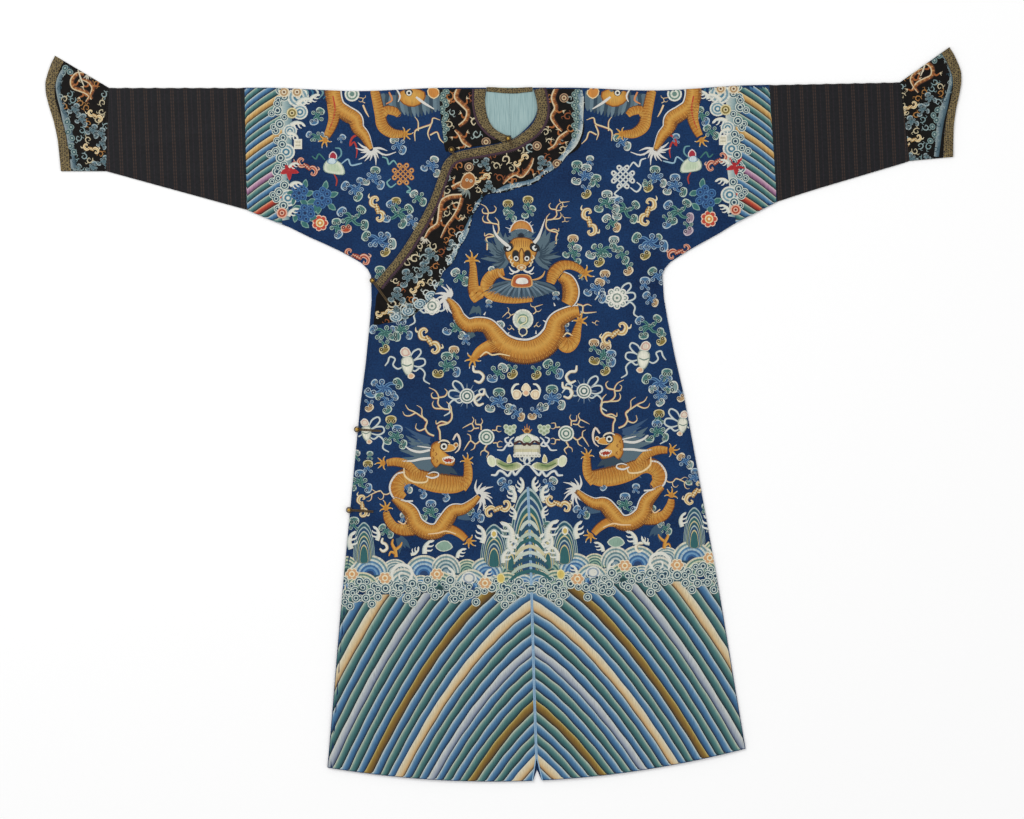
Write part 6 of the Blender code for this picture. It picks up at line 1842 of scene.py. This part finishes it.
def small_dragon(work, path, level=2):
    """A rust and gold dragon of the dark facings, with a pale edge and short legs."""
    rows = [(u, v, half * 1.35) for u, v, half in path]
    stroke(work, [(u, v, wide + 1.3) for u, v, wide in rows], "351a10", level - 1, 5, 0.1)
    stroke(work, rows, [(-1.0, 0.0, "6e3a18"), (-0.3, 0.3, "985a2a"), (0.4, 0.4, "bb7c42"), (0.4, 0.4, "dccaa6"),
        (1.0, 0.1, "dccaa6")], level, 5)
    line = spline(rows, 7)
    for index in range(2, len(line) - 1, 2):
        here, ahead = line[index], line[index + 1]
        along = (ahead[:2] - here[:2]) / max(1e-6, math.dist(ahead[:2], here[:2]))
        side = np.array((-along[1], along[0])) * here[2] / 2
        low, high = here[:2] - side * 0.8, here[:2] + side * 0.4
        stroke(work, [(float(low[0]), float(low[1]), 0.5), (float(high[0]), float(high[1]), 0.5)],
            "66310f" if index % 4 else "d9a565", level + 5, 1)
    for share, reach in ((0.25, 1), (0.45, -1), (0.75, 1)):
        here = line[int(share * (len(line) - 1))]
        ahead = line[min(len(line) - 1, int(share * (len(line) - 1)) + 1)]
        along = (ahead[:2] - here[:2]) / max(1e-6, math.dist(ahead[:2], here[:2]))
        side = np.array((-along[1], along[0])) * reach
        knee, foot = here[:2] + side * 4.2 + along * 1.5, here[:2] + side * 7.0 - along * 1.5
        stroke(work, [(float(here[0]), float(here[1]), 2.2), (float(knee[0]), float(knee[1]), 1.8),
            (float(foot[0]), float(foot[1]), 1.2)], "a4602c", level, 3)
        for spread in (-1, 0, 1):
            tip = foot + side * 2.4 + along * spread * 2.0
            stroke(work, [(float(foot[0]), float(foot[1]), 1.0), (float(tip[0]), float(tip[1]), 0.3)], "d9c6a2",
                level + 1, 1)


def curl(work, u, v, turn, size, colour, flip=1, level=2):
    at = spot(u, v, turn, size, flip)
    stroke(work, at((-5, 4, 1.0), (-4, -2, 1.8), (1, -5, 2.0), (5, -1, 1.8), (2, 4, 1.4), (-1, 1, 0.8)), colour,
        level, 4)
    stroke(work, at((3, -4, 1.4), (7, -7, 1.0), (9, -4, 0.5)), colour, level, 3)
    stroke(work, at((-4, 0, 1.2), (-7, -1, 1.0), (-8, -4, 0.4)), colour, level, 2)


def facing_work(name):
    """Dragons, clouds, bats and the wave trim of the dark facings."""
    work = Needlework(name, "facing_overlap", "facing_neck_right")
    for index, (u, v) in enumerate(FACING_SWIRLS):
        curl(work, u, v, index * 77, 0.62 + 0.12 * math.sin(index * 1.9),
            ("c9bd9c", "b0723c", "9fb0ac", "8a4c26", "d9cba8")[index % 5], 1 if index % 2 else -1, 1)
    for path in FACING_DRAGONS:
        small_dragon(work, path)
    patch(work, [(463, 176), (470, 172), (476, 178), (474, 186), (466, 190), (460, 186)], "a8682f", 5, rim="d9c6a2")
    for u, v in ((467, 180), (471, 181)):
        disc(work, u, v, [(1.6, "e6dcc4"), (0.8, "1c1410")], 9, sides=8)
    fan(work, 466, 188, 60, 170, 6, 2, 12, "7f8a86", 2, 2.0, 0.2)
    fan(work, 425, 238, 40, 190, 7, 1, 8, "cfc8b6", 3, 1.4, 0.1)
    for u, v, size in FACING_CLOUDS:
        cloud(work, u, v, (u * 7) % 50 - 25, 1 if int(u) % 2 else -1, "tri", "q", "qq", 0.66 * size, 1)
    for u, v in FACING_ROSETTES:
        disc(work, u, v, [(4.6, "b59474"), (3.7, "40241a"), (2.6, "cdb48c"), (1.2, "6e4026")], 4, sides=14)
    for u, v, turn in ((417, 287, 60), (384, 313, 90), (482, 178, 80), (521, 160, 60)):
        bat(work, u, v, turn, 1, "p" if u < 450 else "o", 0.60)
    trim = [(u, v, 6.0 + 1.5 * math.sin(index * 2.1)) for index, (u, v) in enumerate(FACING_TRIM)]
    stroke(work, trim, [(-1.0, 0.0, "cdd2cc"), (-0.35, 0.3, "aebbbd"), (0.2, 0.3, "7a93a2"), (1.0, 0.0, "47687e")], 1,
        4)
    for index, (u, v) in enumerate(spline([(row[0], row[1]) for row in FACING_TRIM], 3)):
        shift = 1.6 * math.sin(index * 2.7)
        if index % 2:
            curl(work, float(u) + shift, float(v), index * 47, 0.42, ("d9ddd6", "44687c", "b9c6c4")[index % 3], 1, 4)
    for index, (u, v) in enumerate(((464, 238), (459, 250), (453, 262), (447, 274), (440, 286), (431, 296),
        (420, 304), (408, 311), (396, 317))):
        disc(work, u, v, [(6.4, "c9d4d2"), (5.2, "557e92"), (3.8, "b9c9cc"), (2.4, "3a6478"), (1.2, "c9d4d2")],
            2 + index % 2, 0.8, -45 + index * 6, sides=14, rise=0.05)
        curl(work, u - 4.5, v - 3.0, index * 50, 0.62, "cfd6d0", 1, 6)
    for index in range(16):
        v = 88 + index * 3.4
        for u in (444 + 2.5 * math.sin(index * 1.7), 576 + 2.0 * math.sin(index * 2.1)):
            disc(work, u, v, [(3.4, "8a9f96"), (2.5, "335a62"), (1.2, "a5b7aa")], 2 + index % 3, 0.8, index * 31,
                sides=9)
    return work.finish()


def cuff_work(name, turned):
    """Dragon, clouds, bats and wave trim of a horse-hoof cuff."""
    work = Needlework(name, "cuff_left" if turned else "cuff_right")

    def at(rows):
        return [(1004.5 - row[0], row[1] - 11.0 + (row[0] - 75) * 0.13, *row[2:]) for row in rows] if turned else rows

    side = -1 if turned else 1
    for index, (u, v) in enumerate(CUFF_SWIRLS):
        u, v = at([(u, v)])[0]
        curl(work, u, v, index * 81, 0.55, ("c9bd9c", "a8763c", "8fa5a6", "7f9a9c")[index % 4], side, 1)
    for path in (((84, 74, 2.4), (77, 74, 2.8), (72, 80, 3.0), (73, 87, 2.6), (80, 90, 2.8), (87, 93, 2.8),
        (92, 99, 1.8)),
                 ((82, 79, 1.6), (89, 82, 2.6), (93, 88, 2.6), (90, 96, 2.0), (86, 102, 1.2))):
        small_dragon(work, at(path))
    stroke(work, at([(78, 70, 1.0), (81, 79, 1.6), (84, 86, 0.8)]), "d9cfb6", 8)
    u, v = at([(87, 74)])[0]
    fan(work, u, v, 10, 120, 5, 1, 8, "c9c2b0", 2, 1.4, 0.2)
    for u, v, turn in ((95, 116, -50), (91, 149, -60)):
        u, v = at([(u, v)])[0]
        bat(work, u, v, turn * side, side, "p", 0.60)
    for u, v, size in ((75, 110, 0.8), (82, 120, 0.75), (93, 131, 0.8), (101, 134, 0.75), (93, 168, 0.8),
        (104, 162, 0.8), (102, 144, 0.6), (78, 168, 0.5)):
        u, v = at([(u, v)])[0]
        cloud(work, u, v, 20 * side, side, "tri", "q", "qq", 0.62 * size, 1)
    trim = at([(68, 66, 3.5), (62, 73, 4.5), (58, 84, 4.5), (59, 96, 4), (62, 108, 4), (66, 120, 7), (69, 132, 6.5),
        (71, 145, 6), (72, 156, 5), (74, 171, 5)])
    if turned:
        trim = [(u + 5.5, v, wide) for u, v, wide in trim]
    stroke(work, trim, [(-1.0, 0.0, "34505e"), (0.0, 0.3, "5f7884"), (1.0, 0.0, "98a6a8")], 1, 4)
    for index, (u, v) in enumerate(spline([(row[0], row[1]) for row in trim], 3)):
        if index % 2:
            curl(work, float(u) + 1.5 * side, float(v), index * 47, 0.4, ("9fb0ae", "2c4c58", "7f9498")[index % 3],
                side, 4)
    for u, v in ((67, 122), (71, 127), (68, 132), (72, 138), (70, 146), (74, 152), (65, 68), (70, 72)):
        u, v = at([(u, v)])[0]
        disc(work, u, v, [(3.4, "839b98"), (2.5, "33565e"), (1.2, "a0b1aa")], 5, 0.85, u * 13, sides=9)
    return work.finish()


def place_of(across, down):
    """Plan units of a place in pattern space."""
    x, y = lay(across, down)
    return x / U + CENTRE_U, CENTRE_V - y / U


def sewing(name):
    """Running stitches beside the seams, bands and pipings."""
    work = Needlework(name, *SHELLS)
    lines = []
    for side in (-1, 1):
        for seam in (SLEEVE_SEAM, CUFF_SEAM):
            (upper, start), (lower, end) = seam
            for shift in (-0.0022, 0.0022):
                lines.append(("10203c" if shift < 0 and seam is SLEEVE_SEAM else "2a2420", [
                    place_of(side * (start + (end - start) * part / 12 + shift),
                        upper + (lower - upper) * (0.02 + 0.96 * part / 12)) for part in range(13)]))
        lines.append(("7f93a0", [place_of(side * (centre_edge(down) + 0.0036),
            down) for down in np.linspace(VENT_TOP + 0.01, ROBE_LENGTH - 0.01, 30)]))
    for share, colour in ((-0.8, "3a301c"), (0.8, "3a301c")):
        lines.append((colour, [place_of(row[0], row[1]) for row in band_sections((share, 0), (share, 0))]))
    lines.append(("5a4a4a", [place_of(row[0], row[1]) for row in band_sections((1, SEAM + PIPING + 0.0012),
        (1, SEAM + PIPING + 0.0012))]))
    for colour, line in lines:
        rows = [np.array(point) for point in line]
        walked, drawn = 0.0, 0.0
        for start, end in zip(rows, rows[1:]):
            size = float(np.linalg.norm(end - start))
            while drawn < walked + size:
                first = start + (end - start) * (drawn - walked) / size
                last = first + (end - start) / size * 1.1
                stroke(work, [(float(first[0]), float(first[1]), 0.36), (float(last[0]), float(last[1]), 0.36)],
                    colour, 1, 1, 0.1)
                drawn += 2.1
            walked += size
    return work.finish()


def make_embroidery():
    ground = ("body_left", "body_right", "front_overlap")
    work = Needlework("stitched_clouds", *ground)
    for u, v, turn, flip, kind, stem, kinds, size in GROUND_CLOUDS:
        if size > 0.1:
            cloud(work, u, v, turn, flip, kind, stem, kinds, size * 0.86)
    work.finish()
    work = Needlework("stitched_treasures", *ground)
    for u, v, turn, flip, kind, size in GROUND_BATS:
        bat(work, u, v, turn, flip, kind, size)
    for u, v, kind, turn, size, flip in TREASURES:
        treasure(work, u, v, kind, turn, size, flip)
    canopy(work)
    centre_bat(work)
    work.finish()
    work = Needlework("stitched_dragons", *ground)
    main_dragon(work)
    for turned in (False, True):
        side_dragon(work, turned)
        shoulder_dragon(work, turned)
    work.finish()
    stripes("stitched_water")
    work = Needlework("stitched_waves", *ground)
    waves(work)
    for turned in (False, True):
        sleeve_waves(work, turned)
    work.finish()
    facing_work("stitched_facing")
    for name, turned in (("stitched_cuff_right", False), ("stitched_cuff_left", True)):
        cuff_work(name, turned)
    sewing("stitched_seams")


make_embroidery()


# name, across, down, height of what is below, loop height at ball and tail, angle, length
BUTTONS = (
    ("neck", -0.0062, 0.1048, BAND_UNDER_TOP, 0.0088, 0.0088, 302, 0.018),
    ("corner", -0.1230, 0.1275, FACING_UNDER_TOP, 0.0088, 0.0088, 300, 0.020),
    ("armpit", -0.2955, 0.3935, UNDER_TOP, 0.0094, 0.0078, 306, 0.058),
    ("chest", -0.3390, 0.6850, UNDER_TOP, 0.0062, 0.0062, 356, 0.050),
    ("waist", -0.3620, 0.8480, UNDER_TOP, 0.0062, 0.0062, 356, 0.050),
)
BALL_RADIUS, CORD_RADIUS, TWIST = 0.0040, 0.0011, 0.0024


def skin(name, rings, finish, node):
    """A closed mesh through rings of points, capped at both ends."""
    sides = len(rings[0])
    points = [point for ring in rings for point in ring]
    faces = [tuple(range(sides))[::-1], tuple(len(points) - sides + side for side in range(sides))]
    for ring in range(len(rings) - 1):
        for side in range(sides):
            beside = (side + 1) % sides
            faces.append((ring * sides + side, ring * sides + beside, (ring + 1) * sides + beside,
                (ring + 1) * sides + side))
    mesh = bpy.data.meshes.new(name)
    mesh.from_pydata(points, [], faces)
    mesh.shade_smooth()
    mesh.materials.append(MATERIALS[finish].material)
    piece = bpy.data.objects.new(name, mesh)
    bpy.context.scene.collection.objects.link(piece)
    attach(piece, "root")
    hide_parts(node)
    return piece


def make_fastenings():
    for name, across, down, below, loop_height, tail_height, angle, length in BUTTONS:
        x, y = lay(across, down)
        height = below + SEAM + BALL_RADIUS
        z = height + relief(across, down)
        rings = []
        for row in range(1, 20):
            lift = math.pi * row / 20
            ring = []
            for side in range(28):
                turn = math.tau * side / 28
                chased = 1.0 - 0.035 * abs(math.sin(3.5 * turn)) * math.sin(lift) ** 2
                ring.append((x + BALL_RADIUS * chased * math.sin(lift) * math.cos(turn),
                    y + BALL_RADIUS * chased * math.sin(lift) * math.sin(turn),
                             z - BALL_RADIUS * math.cos(lift)))
            rings.append(ring)
        skin("ball_%s_gilt" % name, rings, "gilt_brass", "ball_" + name)
        turn_radius = math.sqrt(BALL_RADIUS ** 2 - (loop_height - height) ** 2) + CORD_RADIUS + SEAM
        spacing = CORD_RADIUS + SEAM / 2
        opening = math.asin(spacing / turn_radius)
        leg = [length + (turn_radius * math.cos(opening) - length) * step / 40 for step in range(40)]
        path = [(along, spacing) for along in leg]
        for step in range(33):
            turn = opening + (math.tau - 2 * opening) * step / 32
            path.append((turn_radius * math.cos(turn), turn_radius * math.sin(turn)))
        path += [(along, -spacing) for along in reversed(leg)]
        heading = math.radians(angle)
        centres = []
        for along, aside in path:
            share = max(0.0, along / length)
            centres.append(np.array((x + along * math.cos(heading) - aside * math.sin(heading),
                y + along * math.sin(heading) + aside * math.cos(heading),
                                     loop_height + (tail_height - loop_height) * share + relief(across, down))))
        rings, walked = [], 0.0
        for index, centre in enumerate(centres):
            ahead, behind = centres[min(len(centres) - 1, index + 1)], centres[max(0, index - 1)]
            along = (ahead - behind) / np.linalg.norm(ahead - behind)
            aside = np.cross(along, (0.0, 0.0, 1.0))
            aside /= np.linalg.norm(aside)
            up = np.cross(aside, along)
            walked += float(np.linalg.norm(centre - centres[index - 1])) if index else 0.0
            ring = []
            for side in range(10):
                turn = math.tau * side / 10
                radius = CORD_RADIUS * (0.90 + 0.10 * math.cos(2 * turn - math.tau * walked / TWIST))
                ring.append(tuple(centre + radius * (math.cos(turn) * aside + math.sin(turn) * up)))
            rings.append(ring)
        skin("loop_%s_cord" % name, rings, "loop_cord", "loop_" + name)


make_fastenings()

# piece: how it lies, on what, and the trims on it
GROUND_STITCHES = ("stitched_clouds", "stitched_treasures", "stitched_dragons", "stitched_water", "stitched_waves",
    "stitched_seams")
SHEETS = {
    "body_left": ("folded", "floor", GROUND_STITCHES + ("vent_piping_left_cloth",)),
    "body_right": ("folded", "floor", ()),
    "front_overlap": ("laid", "body_right_cloth", ("vent_piping_right_cloth",)),
    "sleeve_left": ("folded", "floor", ()),
    "sleeve_right": ("folded", "floor", ()),
    "cuff_left": ("folded", "floor", ("stitched_cuff_left",)),
    "cuff_right": ("folded", "floor", ("stitched_cuff_right",)),
    "cuff_band_left": ("folded", "floor", ()),
    "cuff_band_right": ("folded", "floor", ()),
    "lining_left": ("laid", "body_left_cloth", ()),
    "lining_right": ("laid", "body_right_cloth", ()),
    "facing_neck_right": ("laid", "body_right_cloth", ()),
    "facing_overlap": ("laid", "front_overlap_cloth", ("stitched_facing",)),
    "overlap_band": ("laid", "facing_overlap_cloth", ("overlap_piping_cloth",)),
    "neck_band_right": ("laid", "facing_neck_right_cloth", ("neck_piping_right_cloth",)),
    "neck_band_back": ("laid", "lining_left_cloth", ()),
}


def declare_sheets():
    """Works out each piece's cut size and area from the pattern, and leaves them unused; a folded piece is cut all
    round, twice as long as what shows.
    """
    for name, (held, below, trims) in SHEETS.items():
        width, length, area = CUTS[name]
        length *= 2 if held == "folded" else 1
        if name.startswith("cuff_band"):
            width, length = CUFF_BAND, area / CUFF_BAND


declare_sheets()


def make_stage():
    mesh = bpy.data.meshes.new("floor")
    half = 6.0
    mesh.from_pydata([(-half, -half, -0.0005), (half, -half, -0.0005), (half, half, -0.0005), (-half, half, -0.0005)],
        [], [(0, 1, 2, 3)])
    floor = bpy.data.objects.new("floor", mesh)
    bpy.context.scene.collection.objects.link(floor)
    made = Nodes("floor_paper", 0.9, 0.0, 0.0, 0.1)
    made.set("Base Color", (1.0, 1.0, 1.0, 1.0))
    mesh.materials.append(made.material)
    world = bpy.data.worlds.new("studio")
    world.use_nodes = True
    world.node_tree.nodes["Background"].inputs["Color"].default_value = (1.0, 1.0, 1.0, 1.0)
    world.node_tree.nodes["Background"].inputs["Strength"].default_value = 0.72
    bpy.context.scene.world = world
    for name, place, size, power in (("key", (-2.2, 2.6, 4.2), 2.6, 90.0), ("fill", (3.2, -1.4, 4.5), 3.5, 30.0)):
        light = bpy.data.lights.new(name, "AREA")
        light.energy = power
        light.size = size
        lamp = bpy.data.objects.new(name, light)
        lamp.location = place
        lamp.rotation_euler = Vector(place).to_track_quat("Z", "Y").to_euler()
        bpy.context.scene.collection.objects.link(lamp)
    camera_data = bpy.data.cameras.new("camera")
    camera_data.lens = 135.0
    camera_data.sensor_width = 36.0
    camera = bpy.data.objects.new("camera", camera_data)
    x, y = plan(512.0, 409.5)
    camera.location = (x, y, 0.004 + 1024 * U / 2 / (18.0 / 135.0))
    bpy.context.scene.collection.objects.link(camera)
    bpy.context.scene.camera = camera
    bpy.context.scene.view_settings.view_transform = "Standard"


make_stage()
